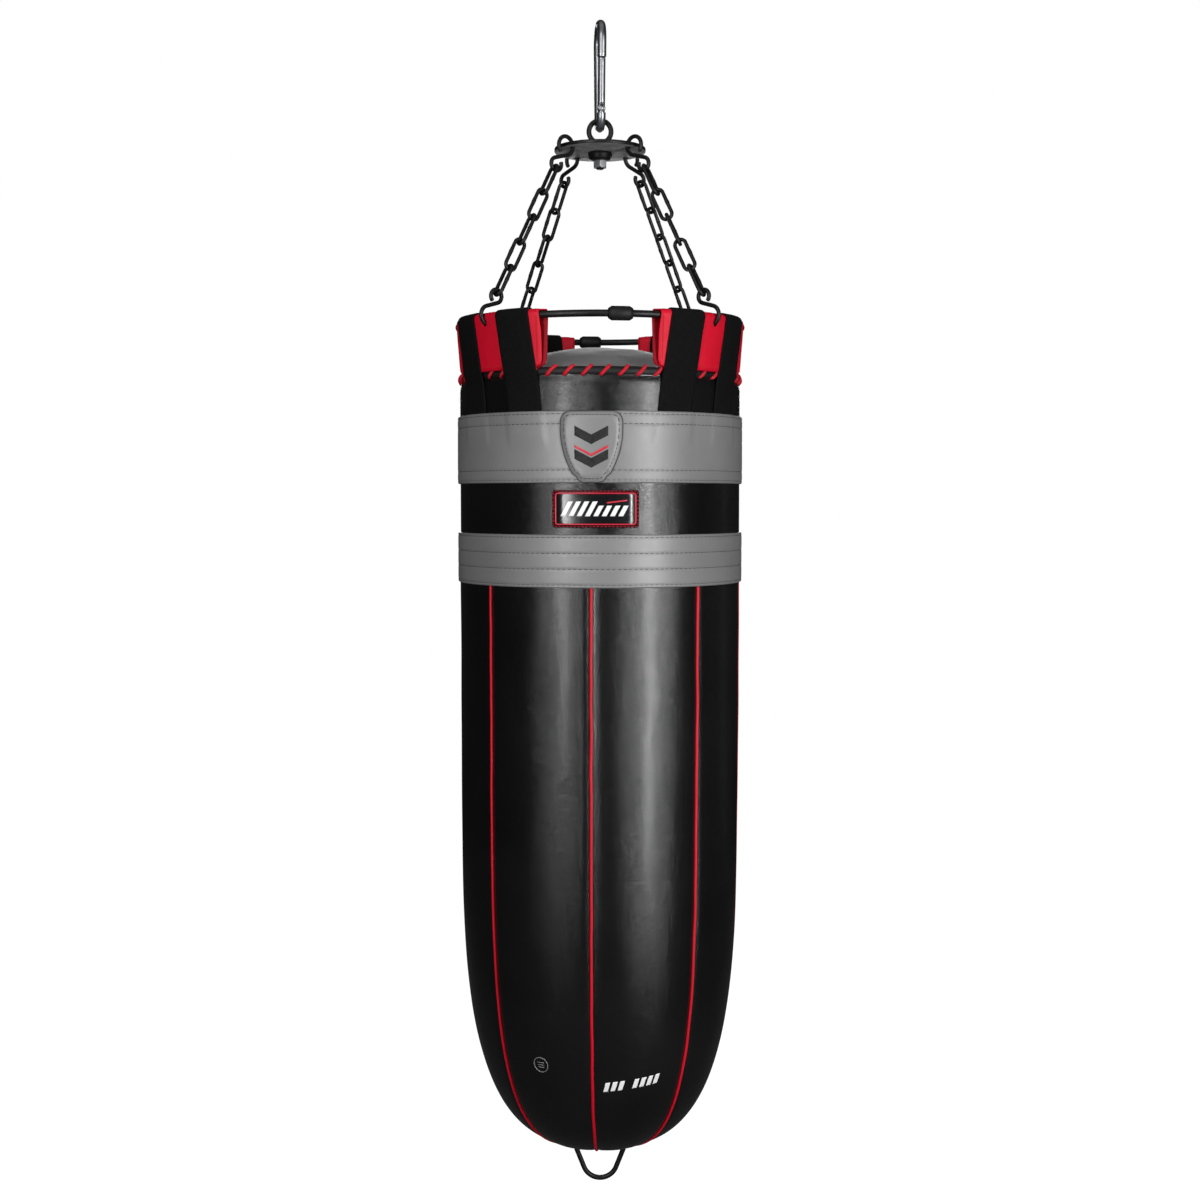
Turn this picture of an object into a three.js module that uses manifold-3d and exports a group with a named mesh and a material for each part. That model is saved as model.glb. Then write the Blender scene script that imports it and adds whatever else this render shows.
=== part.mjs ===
// Heavy punching bag on a four-leg chain hanger.
// Millimetres, +Z up. The origin is the inside top of the snap hook, where the bag hangs.
// Azimuth 0 is the front of the bag (-Y) and azimuth 90 is its right-hand side (+X).
import * as THREE from "three";
import { mergeVertices } from "three/addons/utils/BufferGeometryUtils.js";
import Module from "manifold-3d";

const wasm = await Module();
wasm.setup();

// ---- Driving dimensions -------------------------------------------------------------

const GAP = 0.3; // left between touching pieces

// Snap hook: two arcs joined by straight sides, the front one replaced by the gate
const HOOK_WIRE = 6; // wire radius
const HOOK_TOP_ARC = { x: 0, z: -19, r: 25 };
const HOOK_BOTTOM_ARC = { x: 0, z: -113, r: 16 };
const HOOK_AZIMUTH = 6; // the gate side faces a little to the right of the front
const GATE_HINGE_Z = -107;
const GATE_RADIUS = 5;
const GATE_LENGTH = 64.5; // from the hinge pin to the gate's shoulder
const TONGUE_LENGTH = 8.5;
const TONGUE_DEPTH = [-4, 1.6]; // inwards and outwards of the gate's centreline
const TONGUE_HALF = 1.5; // half thickness
const SLOT_HALF = 1.9; // half width of the slot in the nose
const NOSE_GAP = 1.5; // between the gate's shoulder and the hook's nose
const LUG_HALF = 2; // half thickness of the hinge lug
const PIN_RADIUS = 2;

// Eye bolt, with the bearing and the nut that carry the plate
const EYE_WIRE = 3.4;
const EYE_RADIUS = 14.8;
const EYE_Z = HOOK_BOTTOM_ARC.z - HOOK_BOTTOM_ARC.r + HOOK_WIRE + GAP + EYE_WIRE - EYE_RADIUS;
const SHANK_RADIUS = 5;
const SHANK_END_Z = -184.2;
const BEARING_RADIUS = 16;
const BEARING_BOTTOM_Z = -171.9;
const NUT_BOTTOM_Z = -181.9;
const NUT_ACROSS_FLATS = 17;

// Spreader plate
const PLATE_RADIUS = 61.25;
const PLATE_TOP_Z = -156.5;
const PLATE_BOTTOM_Z = -161.5;
const PLATE_HOLE_AT = 49.2;
const PLATE_HOLE_RADIUS = 4.2;

// S hooks, in each leg's radial plane: an upper and a lower loop
const S_WIRE = 2.75;
const S_START = -40; // degrees, the wire's open end on the upper loop
const S_END = -200; // degrees, the wire's open end on the lower loop
const TOP_S = { upper: { x: 60.5, z: -161, r: 12 }, lower: { x: 77, z: -187, r: 8.5 } };
const LOW_S = { upper: { x: 178, z: -367, r: 8.5 }, lower: { x: 190.5, z: -391.8, r: 12 } };

// Chain legs
const LEGS = { front_left: -48, front_right: 48, back_left: -141, back_right: 135 };
const LINK_TWIST = { front_left: -8, front_right: 28, back_left: 25, back_right: 0 }; // degrees, of the middle links
const LINKS_PER_LEG = 5;
const LINK_WIRE = 2.5;
const LINK_ARC = 7.2; // centreline radius of a link's round end
const HOOK_PLAY = 0.6; // between the top S hook and the first link
const LINK_PLAY = 0.8; // between one link and the next
const OPEN_END_GAP = 1.2; // play between the last link and the lower S hook

// Steel ring that the bag's straps hang from
const RING_RADIUS = 190;
const RING_Z = -396.2;
const RING_WIRE = 4.5;
const RING_JOINTS = { front: 7.7, back: 184.3 }; // azimuths of the two joining sleeves
const SLEEVE_LENGTH = 31;
const SLEEVE_RADIUS = 9;
const SLEEVE_BORE = 5.5;

// Leather tabs folded over the ring, and the webbing straps over each tab
const TAB_HALF_WIDTH = 86;
const TAB_OUTER = 7.5; // distance of the leather's outside from the ring's centreline
const TAB_INNER = 5.3;
const TAB_BOTTOM_Z = -463;
const TAB_SEAM_Z = -438; // below this the two flaps are sewn together
const TAB_CORNER = 12;
const TAB_HOLE = 3.6;
const STRAP_WIDTH = 50;
const STRAP_THICKNESS = 1.8;
const STRAP_SPACING = 13.75; // degrees of azimuth each side of the tab's middle
const STRAP_SLANT = 7; // degrees that a strap leans as it goes down
const STRAP_INNER_END_Z = -450;
const STRAP_OUTER_END_Z = -545;

// Bag
const BAG_RADIUS = 189;
const LEATHER = 3;
const RIM_Z = -471;
const WELT_RADIUS = 5.2;
const WELT_AT = 182.8;
const TAPER_TOP_Z = -996.9; // the straight wall ends here and the rounded bottom starts
const TAPER_HEIGHT = 512.8;
const TAPER_POWER = 3.558;
const TAPER_ROOT = 3.048;
const SHELL_JOIN_Z = -703; // hidden behind the lower band
const COVER_EDGE = 176;
const COVER_EDGE_Z = -468;
const COVER_RISE = 46;
const BAND_THICKNESS = 2.7;
const UPPER_BAND = { top: -515.7, bottom: -605.1 };
const LOWER_BAND = { top: -669.6, bottom: -736.2 };

// D-ring under the bag, and the webbing that keeps it
const D_WIRE = 3.5;
const D_BAR_Z = -1522;
const D_HALF_WIDTH = 32.5;
const D_CORNER = 6;
const D_BOTTOM_Z = -1570;
const D_BOTTOM_ARC = 24;
const KEEPER_HALF_WIDTH = 22;
const KEEPER_FLANGE = 20;

// ---- Materials ----------------------------------------------------------------------

const material = (color, roughness, metalness) =>
  new THREE.MeshStandardMaterial({ color, roughness, metalness });
const ZINC = material(0xa9abad, 0.32, 1);
const BLACK_STEEL = material(0x17171a, 0.5, 0.4);
const BLACK_LEATHER = material(0x131314, 0.45, 0);
const GREY_LEATHER = material(0x7b7b7c, 0.6, 0);
const RED_LEATHER = material(0xc4161c, 0.5, 0);
const WEBBING = material(0x0c0c0d, 0.9, 0);
const STUFFING = material(0x6f6a62, 1, 0);

// ---- Geometry helpers ---------------------------------------------------------------

const radians = THREE.MathUtils.degToRad;

// A path through given stations, one extrusion step for each
class StationPath extends THREE.Curve {
  constructor(stations) {
    super();
    this.stations = stations;
  }
  getPointAt(u) {
    const index = Math.round(u * (this.stations.length - 1));
    return this.stations[index].clone();
  }
  getTangentAt(u) {
    const last = this.stations.length - 1;
    const index = Math.round(u * last);
    const direction = (from) =>
      this.stations[from + 1].clone().sub(this.stations[from]).normalize();
    const before = direction(Math.max(index - 1, 0));
    const after = direction(Math.min(index, last - 1));
    return before.add(after).normalize();
  }
}

// Points of an arc in a radial plane, x outwards and z up, from one angle to another
function arc({ x, z, r }, fromDegrees, toDegrees, stepDegrees = 22.5) {
  const steps = Math.max(1, Math.round(Math.abs(toDegrees - fromDegrees) / stepDegrees));
  return Array.from({ length: steps + 1 }, (_, i) => {
    const angle = radians(fromDegrees + ((toDegrees - fromDegrees) * i) / steps);
    return new THREE.Vector2(x + r * Math.cos(angle), z + r * Math.sin(angle));
  });
}

const inPlane = (points) => points.map((p) => new THREE.Vector3(p.x, 0, p.y));

function roundSection(radius, sides) {
  const corners = Array.from({ length: sides }, (_, i) => {
    const angle = (2 * Math.PI * i) / sides;
    return new THREE.Vector2(radius * Math.cos(angle), radius * Math.sin(angle));
  });
  return new THREE.Shape(corners);
}

function wire(stations, radius, sides = 6) {
  const steps = stations.length - 1;
  const options = { steps, extrudePath: new StationPath(stations), bevelEnabled: false };
  return new THREE.ExtrudeGeometry(roundSection(radius, sides), options);
}

function solid(geometry) {
  const bare = geometry.clone();
  bare.deleteAttribute("normal");
  bare.deleteAttribute("uv");
  const merged = mergeVertices(bare, 1e-4);
  const count = merged.attributes.position.count;
  const index = merged.index ?? { array: Array.from({ length: count }, (_, i) => i) };
  const mesh = new wasm.Mesh({
    numProp: 3,
    vertProperties: Float32Array.from(merged.attributes.position.array),
    triVerts: Uint32Array.from(index.array),
  });
  return new wasm.Manifold(mesh);
}

function geometryOf(body) {
  const { vertProperties, triVerts } = body.getMesh();
  const geometry = new THREE.BufferGeometry();
  geometry.setAttribute("position", new THREE.BufferAttribute(vertProperties, 3));
  geometry.setIndex(new THREE.BufferAttribute(triVerts, 1));
  geometry.computeVertexNormals();
  return geometry;
}

const join = (first, ...rest) => geometryOf(rest.reduce((a, g) => a.add(solid(g)), solid(first)));
const cut = (first, ...rest) =>
  geometryOf(rest.reduce((a, g) => a.subtract(solid(g)), solid(first)));
const overlap = (a, b) => geometryOf(solid(a).intersect(solid(b)));

// A wire bent into a closed loop, made as two halves that meet at its first and middle stations
function wireLoop(stations, radius, sides = 6) {
  const middle = stations.length / 2;
  const firstHalf = stations.slice(0, middle + 1);
  const secondHalf = [...stations.slice(middle), stations[0]];
  return join(wire(firstHalf, radius, sides), wire(secondHalf, radius, sides));
}

// A profile of radius and height turned about the Z axis, drawn counter-clockwise
function turned(profile, segments = 64) {
  const points = profile.map(([r, z]) => new THREE.Vector2(r, z));
  return new THREE.LatheGeometry(points, segments).rotateX(Math.PI / 2);
}

const closed = (profile) => [...profile, profile[0]];

function tube(outer, inner, top, bottom, segments) {
  return turned(closed([[inner, bottom], [outer, bottom], [outer, top], [inner, top]]), segments);
}

function box(x, y, z) {
  const geometry = new THREE.BoxGeometry(x[1] - x[0], y[1] - y[0], z[1] - z[0]);
  return geometry.translate((x[0] + x[1]) / 2, (y[0] + y[1]) / 2, (z[0] + z[1]) / 2);
}

// A round bar along Y
const crossBar = (radius, length, sides = 16) =>
  new THREE.CylinderGeometry(radius, radius, length, sides);

const root = new THREE.Group();

function add(name, geometry, itsMaterial, parent = root) {
  const mesh = new THREE.Mesh(geometry, itsMaterial);
  mesh.name = name;
  parent.add(mesh);
  return mesh;
}

// A group whose X axis points outwards at an azimuth
function radialGroup(azimuth) {
  const group = new THREE.Group();
  group.rotation.z = radians(azimuth - 90);
  root.add(group);
  return group;
}

// ---- Snap hook ----------------------------------------------------------------------

function buildSnapHook() {
  const group = radialGroup(HOOK_AZIMUTH);
  const lean = Math.asin(
    (HOOK_TOP_ARC.r - HOOK_BOTTOM_ARC.r) / (HOOK_TOP_ARC.z - HOOK_BOTTOM_ARC.z),
  );
  const leanDegrees = THREE.MathUtils.radToDeg(lean);
  const along = new THREE.Vector2(Math.sin(lean), Math.cos(lean)); // up the gate
  const top = arc(HOOK_TOP_ARC, leanDegrees, 180 - leanDegrees, 17);
  const bottom = arc(HOOK_BOTTOM_ARC, 180 - leanDegrees, 360 + leanDegrees, 18);
  const hingeX = bottom.at(-1).x + (GATE_HINGE_Z - bottom.at(-1).y) * Math.tan(lean);
  const hinge = new THREE.Vector2(hingeX, GATE_HINGE_Z);
  const nose = hinge.clone().addScaledVector(along, GATE_LENGTH + NOSE_GAP);
  const hookWire = wire(inPlane([nose, ...top, ...bottom]), HOOK_WIRE, 10);

  // Cutters and additions in the gate's own frame: Z up the gate, Y along the pin
  const toHook = (geometry) => geometry.rotateY(lean).translate(hinge.x, 0, hinge.y);
  const reach = 9; // further than the hook's wire is thick
  const shoulder = GATE_RADIUS + 0.5;
  const hingeSpace = toHook(box([-reach, reach], [-reach, reach], [-shoulder, GATE_LENGTH / 2]));
  const slotX = [-reach, TONGUE_DEPTH[1] + 0.4];
  const slotZ = [GATE_LENGTH, GATE_LENGTH + TONGUE_LENGTH + 1.5];
  const noseSlot = toHook(box(slotX, [-SLOT_HALF, SLOT_HALF], slotZ));
  const lugRound = toHook(crossBar(GATE_RADIUS, 2 * LUG_HALF));
  const lugFoot = toHook(
    box([-GATE_RADIUS, GATE_RADIUS], [-LUG_HALF, LUG_HALF], [-shoulder - 2, 0]),
  );
  const pinHole = toHook(crossBar(PIN_RADIUS + GAP, 2 * reach, 12));
  const trimmed = cut(hookWire, hingeSpace, noseSlot);
  add("snap_hook_body", cut(join(trimmed, lugRound, lugFoot), pinHole), ZINC, group);

  const gateFrame = new THREE.Group();
  gateFrame.position.set(hinge.x, 0, hinge.y);
  gateFrame.rotation.y = lean;
  group.add(gateFrame);
  const bar = new THREE.CylinderGeometry(GATE_RADIUS, GATE_RADIUS, GATE_LENGTH, 12);
  bar.rotateX(Math.PI / 2).translate(0, 0, GATE_LENGTH / 2);
  const cheeks = crossBar(GATE_RADIUS, 2 * GATE_RADIUS - 1);
  const tongueZ = [GATE_LENGTH - 1, GATE_LENGTH + TONGUE_LENGTH];
  const tongue = box(TONGUE_DEPTH, [-TONGUE_HALF, TONGUE_HALF], tongueZ);
  const forkHalf = LUG_HALF + GAP;
  const fork = box([-reach, reach], [-forkHalf, forkHalf], [-reach, GATE_RADIUS + 2]);
  const gate = cut(join(bar, cheeks, tongue), fork, crossBar(PIN_RADIUS + GAP, 2 * reach, 12));
  add("snap_hook_gate", gate, ZINC, gateFrame);
  add("gate_pin", crossBar(PIN_RADIUS, 2 * GATE_RADIUS, 12), ZINC, gateFrame);
}

// ---- Eye bolt and spreader plate ----------------------------------------------------

function buildSwivel() {
  const ring = new THREE.TorusGeometry(EYE_RADIUS, EYE_WIRE, 8, 24).rotateX(Math.PI / 2);
  ring.translate(0, 0, EYE_Z);
  const shankTop = EYE_Z - EYE_RADIUS;
  const shankProfile = [
    [0, SHANK_END_Z],
    [SHANK_RADIUS, SHANK_END_Z],
    [SHANK_RADIUS, shankTop],
    [0, shankTop],
  ];
  const shank = turned(shankProfile, 12);
  add("eye_bolt", join(ring, shank), BLACK_STEEL);

  const bearingTop = PLATE_BOTTOM_Z - GAP;
  const bore = SHANK_RADIUS + GAP;
  const chamfer = 2;
  const bearingProfile = [
    [bore, BEARING_BOTTOM_Z],
    [BEARING_RADIUS - chamfer, BEARING_BOTTOM_Z],
    [BEARING_RADIUS, BEARING_BOTTOM_Z + chamfer],
    [BEARING_RADIUS, bearingTop],
    [bore, bearingTop],
  ];
  add("thrust_bearing", turned(closed(bearingProfile), 24), BLACK_STEEL);

  const nutCorner = NUT_ACROSS_FLATS / Math.sqrt(3);
  const nut = tube(nutCorner, bore, BEARING_BOTTOM_Z - GAP, NUT_BOTTOM_Z, 6);
  const roundNut = new THREE.CylinderGeometry(bore, bore, 40, 12).rotateX(Math.PI / 2);
  roundNut.translate(0, 0, NUT_BOTTOM_Z);
  add("lock_nut", cut(nut, roundNut), ZINC);

  const plate = turned(
    closed([
      [SHANK_RADIUS + GAP, PLATE_BOTTOM_Z],
      [PLATE_RADIUS, PLATE_BOTTOM_Z],
      [PLATE_RADIUS, PLATE_TOP_Z],
      [SHANK_RADIUS + GAP, PLATE_TOP_Z],
    ]),
    36,
  );
  const holes = Object.values(LEGS).map((azimuth) => {
    const hole = new THREE.CylinderGeometry(PLATE_HOLE_RADIUS, PLATE_HOLE_RADIUS, 20, 8);
    hole.rotateX(Math.PI / 2).translate(PLATE_HOLE_AT, 0, PLATE_TOP_Z);
    return hole.rotateZ(radians(azimuth - 90));
  });
  add("spreader_plate", cut(plate, ...holes), BLACK_STEEL);
}

// ---- Chain legs ---------------------------------------------------------------------

// Bent wire: round the upper loop, across, and round the lower loop the other way
function sHookStations({ upper, lower }) {
  const dx = lower.x - upper.x;
  const dz = lower.z - upper.z;
  const centreLine = THREE.MathUtils.radToDeg(Math.atan2(dz, dx));
  const crossing = THREE.MathUtils.radToDeg(
    Math.asin((upper.r + lower.r) / Math.hypot(dx, dz)),
  );
  const heading = centreLine + crossing;
  const upperPart = arc(upper, S_START, heading + 270);
  const lowerPart = arc(lower, heading + 90, S_END);
  return inPlane([...upperPart, ...lowerPart]);
}

function linkStations(centreToCentre) {
  const straight = centreToCentre / 2 - LINK_ARC;
  const topEnd = arc({ x: 0, z: straight, r: LINK_ARC }, 0, 180, 45);
  const bottomEnd = arc({ x: 0, z: -straight, r: LINK_ARC }, 180, 360, 45);
  const right = new THREE.Vector2(LINK_ARC, 0);
  const left = new THREE.Vector2(-LINK_ARC, 0);
  return inPlane([right, ...topEnd, left, ...bottomEnd]);
}

// The leg runs straight from the top S hook's lower loop to the lower S hook's upper loop
function legLine() {
  const from = new THREE.Vector2(TOP_S.lower.x, TOP_S.lower.z);
  const to = new THREE.Vector2(LOW_S.upper.x, LOW_S.upper.z);
  const direction = to.clone().sub(from).normalize();
  const start = from.clone().addScaledVector(direction, TOP_S.lower.r);
  const end = to.clone().addScaledVector(direction, -LOW_S.upper.r);
  return { start, direction, length: end.distanceTo(start) };
}

function buildLeg(name, azimuth) {
  const group = radialGroup(azimuth);
  const { start, direction, length } = legLine();
  const hookOffset = S_WIRE + LINK_WIRE + HOOK_PLAY;
  const endOffset = S_WIRE + LINK_WIRE + OPEN_END_GAP;
  const linkOverlap = 2 * LINK_WIRE + LINK_PLAY;
  const total = length + hookOffset + endOffset + (LINKS_PER_LEG - 1) * linkOverlap;
  const linkLength = total / LINKS_PER_LEG; // between the centres of its two end wires
  const slope = Math.atan2(direction.x, -direction.y);

  add(`top_hook_${name}`, wire(sHookStations(TOP_S), S_WIRE), BLACK_STEEL, group);
  for (let i = 0; i < LINKS_PER_LEG; i++) {
    const along = -hookOffset + linkLength / 2 + i * (linkLength - linkOverlap);
    const centre = start.clone().addScaledVector(direction, along);
    const loop = wireLoop(linkStations(linkLength), LINK_WIRE);
    const link = add(`chain_${name}_link_${i + 1}`, loop, BLACK_STEEL, group);
    link.position.set(centre.x, 0, centre.y);
    const quarterTurn = i % 2 === 0 ? 90 : 0;
    const atAHook = i === 0 || i === LINKS_PER_LEG - 1;
    const twist = LINK_TWIST[name] * (atAHook ? 0.5 : 1);
    link.rotation.set(0, -slope, radians(quarterTurn + twist));
  }
  add(`lower_hook_${name}`, wire(sHookStations(LOW_S), S_WIRE), BLACK_STEEL, group);
}

// ---- Ring, tabs and straps ----------------------------------------------------------

function buildRing() {
  const pointAt = (azimuth) => {
    const angle = radians(azimuth);
    return new THREE.Vector3(RING_RADIUS * Math.sin(angle), -RING_RADIUS * Math.cos(angle), RING_Z);
  };
  const endGap = 0.15; // degrees
  const halves = {
    ring_half_right: [RING_JOINTS.front, RING_JOINTS.back],
    ring_half_left: [RING_JOINTS.back, RING_JOINTS.front + 360],
  };
  for (const [name, [from, to]] of Object.entries(halves)) {
    const steps = 30;
    const stations = Array.from({ length: steps + 1 }, (_, i) =>
      pointAt(from + endGap + ((to - from - 2 * endGap) * i) / steps),
    );
    add(name, wire(stations, RING_WIRE), BLACK_STEEL);
  }
  const chamfer = 2;
  const half = SLEEVE_LENGTH / 2;
  const profile = closed([
    [SLEEVE_BORE, -half],
    [SLEEVE_RADIUS - chamfer, -half],
    [SLEEVE_RADIUS, -half + chamfer],
    [SLEEVE_RADIUS, half - chamfer],
    [SLEEVE_RADIUS - chamfer, half],
    [SLEEVE_BORE, half],
  ]);
  const inward = 0.3; // the bore sits half way into the curve of the ring
  for (const [side, azimuth] of Object.entries(RING_JOINTS)) {
    const sleeve = turned(profile, 16).rotateX(-Math.PI / 2);
    const mesh = add(`ring_sleeve_${side}`, sleeve, BLACK_STEEL, radialGroup(azimuth));
    mesh.position.set(RING_RADIUS - inward, 0, RING_Z);
  }
}

// Outline of a sheet of even thickness that follows a line of radius and height
function sheetOutline(line, thickness) {
  const side = (sign) =>
    line.map((point, i) => {
      const before = line[Math.max(i - 1, 0)];
      const after = line[Math.min(i + 1, line.length - 1)];
      const direction = after.clone().sub(before).normalize();
      const offset = (sign * thickness) / 2;
      return [point.x - direction.y * offset, point.y + direction.x * offset];
    });
  return closed([...side(-1), ...side(1).reverse()]);
}

// Prism through a panel outline drawn as seen from outside, at one azimuth
function panelCutter(shape, azimuth) {
  const depth = 60;
  const prism = new THREE.ExtrudeGeometry(shape, { depth, bevelEnabled: false, curveSegments: 4 });
  prism.rotateX(Math.PI / 2).rotateZ(Math.PI / 2).translate(RING_RADIUS - depth / 2, 0, 0);
  return prism.rotateZ(radians(azimuth - 90));
}

function tabShape() {
  const shape = new THREE.Shape();
  const top = RING_Z + 20;
  const cornerX = TAB_HALF_WIDTH - TAB_CORNER;
  const cornerZ = TAB_BOTTOM_Z + TAB_CORNER;
  shape.moveTo(-TAB_HALF_WIDTH, top);
  shape.lineTo(-TAB_HALF_WIDTH, cornerZ);
  shape.absarc(-cornerX, cornerZ, TAB_CORNER, Math.PI, 1.5 * Math.PI);
  shape.absarc(cornerX, cornerZ, TAB_CORNER, -0.5 * Math.PI, 0);
  shape.lineTo(TAB_HALF_WIDTH, top);
  return shape;
}

// The folded leather: a wedge that narrows from the ring to the sewn edge
function wedgeProfile(radius, bottomHalf, bottomZ) {
  const over = arc({ x: RING_RADIUS, z: RING_Z, r: radius }, 0, 180, 30);
  const corners = [[RING_RADIUS - bottomHalf, bottomZ], [RING_RADIUS + bottomHalf, bottomZ]];
  return closed([...over.map((p) => [p.x, p.y]), ...corners]);
}

function strapLine() {
  const offset = TAB_OUTER + GAP + STRAP_THICKNESS / 2;
  const over = arc({ x: RING_RADIUS, z: RING_Z, r: offset }, 0, 180, 30);
  const sewnHalf = TAB_OUTER - TAB_INNER + GAP + STRAP_THICKNESS / 2;
  const innerEnd = new THREE.Vector2(RING_RADIUS - sewnHalf - 1, STRAP_INNER_END_Z);
  const onShell = BAG_RADIUS + GAP + STRAP_THICKNESS / 2;
  const outerLeg = [
    new THREE.Vector2(onShell, STRAP_OUTER_END_Z),
    new THREE.Vector2(onShell, TAB_BOTTOM_Z - 18),
    new THREE.Vector2(RING_RADIUS + sewnHalf, TAB_BOTTOM_Z),
  ];
  return [...outerLeg, ...over, innerEnd];
}

// A strap's outline as seen from outside: a band that leans as it goes down
function strapShape(lean, width) {
  const shape = new THREE.Shape();
  const heights = [RING_Z + 20, STRAP_OUTER_END_Z - 20];
  const middles = heights.map((z) => (RING_Z - z) * Math.tan(radians(lean)));
  shape.moveTo(middles[0] + width / 2, heights[0]);
  shape.lineTo(middles[0] - width / 2, heights[0]);
  shape.lineTo(middles[1] - width / 2, heights[1]);
  shape.lineTo(middles[1] + width / 2, heights[1]);
  return shape;
}

// The front straps lean towards the front and the back straps towards the back
function strapPlaces() {
  return Object.entries(LEGS).flatMap(([name, azimuth]) =>
    [-1, 1].map((side) => ({
      name: `strap_${name}_${side < 0 ? "a" : "b"}`,
      azimuth: azimuth + side * STRAP_SPACING,
      lean: Math.sin(radians(2 * azimuth)) < 0 ? STRAP_SLANT : -STRAP_SLANT,
    })),
  );
}

function buildTabs() {
  const leather = TAB_OUTER - TAB_INNER;
  const outer = turned(wedgeProfile(TAB_OUTER, leather, TAB_BOTTOM_Z));
  const inner = turned(wedgeProfile(TAB_INNER, GAP, TAB_SEAM_Z));
  const folded = cut(outer, inner);
  const hookPath = sHookStations(LOW_S);
  for (const [name, azimuth] of Object.entries(LEGS)) {
    const holes = wire(hookPath, TAB_HOLE).rotateZ(radians(azimuth - 90));
    const tab = cut(overlap(folded, panelCutter(tabShape(), azimuth)), holes);
    add(`tab_${name}`, tab, RED_LEATHER);
  }
}

function strapBody(place, thickness, width) {
  const sheet = turned(sheetOutline(strapLine(), thickness));
  return overlap(sheet, panelCutter(strapShape(place.lean, width), place.azimuth));
}

function buildStraps() {
  for (const place of strapPlaces()) {
    add(place.name, strapBody(place, STRAP_THICKNESS, STRAP_WIDTH), WEBBING);
  }
}

// ---- Bag ----------------------------------------------------------------------------

// Half profile of the rounded bottom, from the straight wall to the lowest point
function bottomProfile(inset) {
  const steps = 7;
  return Array.from({ length: steps + 1 }, (_, i) => {
    const angle = (Math.PI / 2) * (i / steps);
    const fraction = Math.sin(angle) ** (2 / TAPER_POWER);
    const radius = (BAG_RADIUS - inset) * Math.cos(angle) ** (2 / TAPER_ROOT);
    const height = TAPER_TOP_Z - (TAPER_HEIGHT - inset) * fraction;
    return [i === steps ? 0 : radius, height];
  });
}

function coverProfile(drop) {
  const steps = 3;
  return Array.from({ length: steps + 1 }, (_, i) => {
    const r = (COVER_EDGE * i) / steps;
    return [r, COVER_EDGE_Z - drop + COVER_RISE * (1 - (r / COVER_EDGE) ** 2)];
  });
}

function buildBag() {
  const inner = BAG_RADIUS - LEATHER;
  const segments = 40;
  add("upper_shell", tube(BAG_RADIUS, inner, RIM_Z, SHELL_JOIN_Z + GAP), BLACK_LEATHER);
  const lowerProfile = [
    [0, TAPER_TOP_Z - TAPER_HEIGHT],
    ...bottomProfile(0).reverse().slice(1),
    [BAG_RADIUS, SHELL_JOIN_Z],
    [inner, SHELL_JOIN_Z],
    ...bottomProfile(LEATHER),
  ];
  add("lower_shell", turned(lowerProfile, segments), BLACK_LEATHER);

  const fillInset = LEATHER + 1;
  const fillTop = coverProfile(LEATHER + GAP);
  const fillProfile = [
    ...bottomProfile(fillInset).reverse(),
    [BAG_RADIUS - fillInset, COVER_EDGE_Z - LEATHER - 8],
    ...fillTop.reverse(),
  ];
  add("filling", turned(fillProfile, 24), STUFFING);
  const coverOutline = [...coverProfile(LEATHER), ...coverProfile(0).reverse()];
  add("top_cover", turned(coverOutline, segments), GREY_LEATHER);

  const welt = arc({ x: WELT_AT, z: RIM_Z + GAP + WELT_RADIUS, r: WELT_RADIUS }, 0, 360, 60);
  add("rim_welt", turned(welt.map((p) => [p.x, p.y]), 48), BLACK_LEATHER);

  const bandInner = BAG_RADIUS + GAP;
  const bandOuter = bandInner + BAND_THICKNESS;
  const band = tube(bandOuter, bandInner, UPPER_BAND.top, UPPER_BAND.bottom);
  const pockets = strapPlaces().map((place) =>
    strapBody(place, STRAP_THICKNESS + 2 * GAP, STRAP_WIDTH + 2 * GAP),
  );
  add("upper_band", cut(band, ...pockets), GREY_LEATHER);
  add("lower_band", tube(bandOuter, bandInner, LOWER_BAND.top, LOWER_BAND.bottom), GREY_LEATHER);
}

// ---- D-ring -------------------------------------------------------------------------

function buildDRing() {
  const cornerX = D_HALF_WIDTH - D_CORNER;
  const bottomCentre = D_BOTTOM_Z + D_BOTTOM_ARC;
  const stations = [
    new THREE.Vector2(0, D_BAR_Z),
    ...arc({ x: -cornerX, z: D_BAR_Z - D_CORNER, r: D_CORNER }, 90, 195, 26),
    ...arc({ x: 0, z: bottomCentre, r: D_BOTTOM_ARC }, 205, 335, 13),
    ...arc({ x: cornerX, z: D_BAR_Z - D_CORNER, r: D_CORNER }, -15, 90, 26),
  ];
  add("d_ring", wireLoop(inPlane(stations), D_WIRE), BLACK_STEEL);

  const top = TAPER_TOP_Z - TAPER_HEIGHT - GAP;
  const webbing = 2;
  const loopOuter = D_WIRE + 0.4 + webbing;
  const shape = new THREE.Shape();
  shape.moveTo(-KEEPER_FLANGE, top);
  shape.lineTo(-KEEPER_FLANGE, top - webbing);
  shape.lineTo(-webbing - 1, top - webbing - 1);
  shape.absarc(0, D_BAR_Z, loopOuter, radians(115), radians(425));
  shape.lineTo(webbing + 1, top - webbing - 1);
  shape.lineTo(KEEPER_FLANGE, top - webbing);
  shape.lineTo(KEEPER_FLANGE, top);
  const hole = new THREE.Path();
  hole.absarc(0, D_BAR_Z, D_WIRE + 0.4, 0, 2 * Math.PI, true);
  shape.holes.push(hole);
  const options = { depth: 2 * KEEPER_HALF_WIDTH, bevelEnabled: false, curveSegments: 10 };
  const keeper = new THREE.ExtrudeGeometry(shape, options).translate(0, 0, -KEEPER_HALF_WIDTH);
  add("d_ring_keeper", keeper.rotateX(Math.PI / 2).rotateZ(Math.PI / 2), WEBBING);
}

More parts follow.
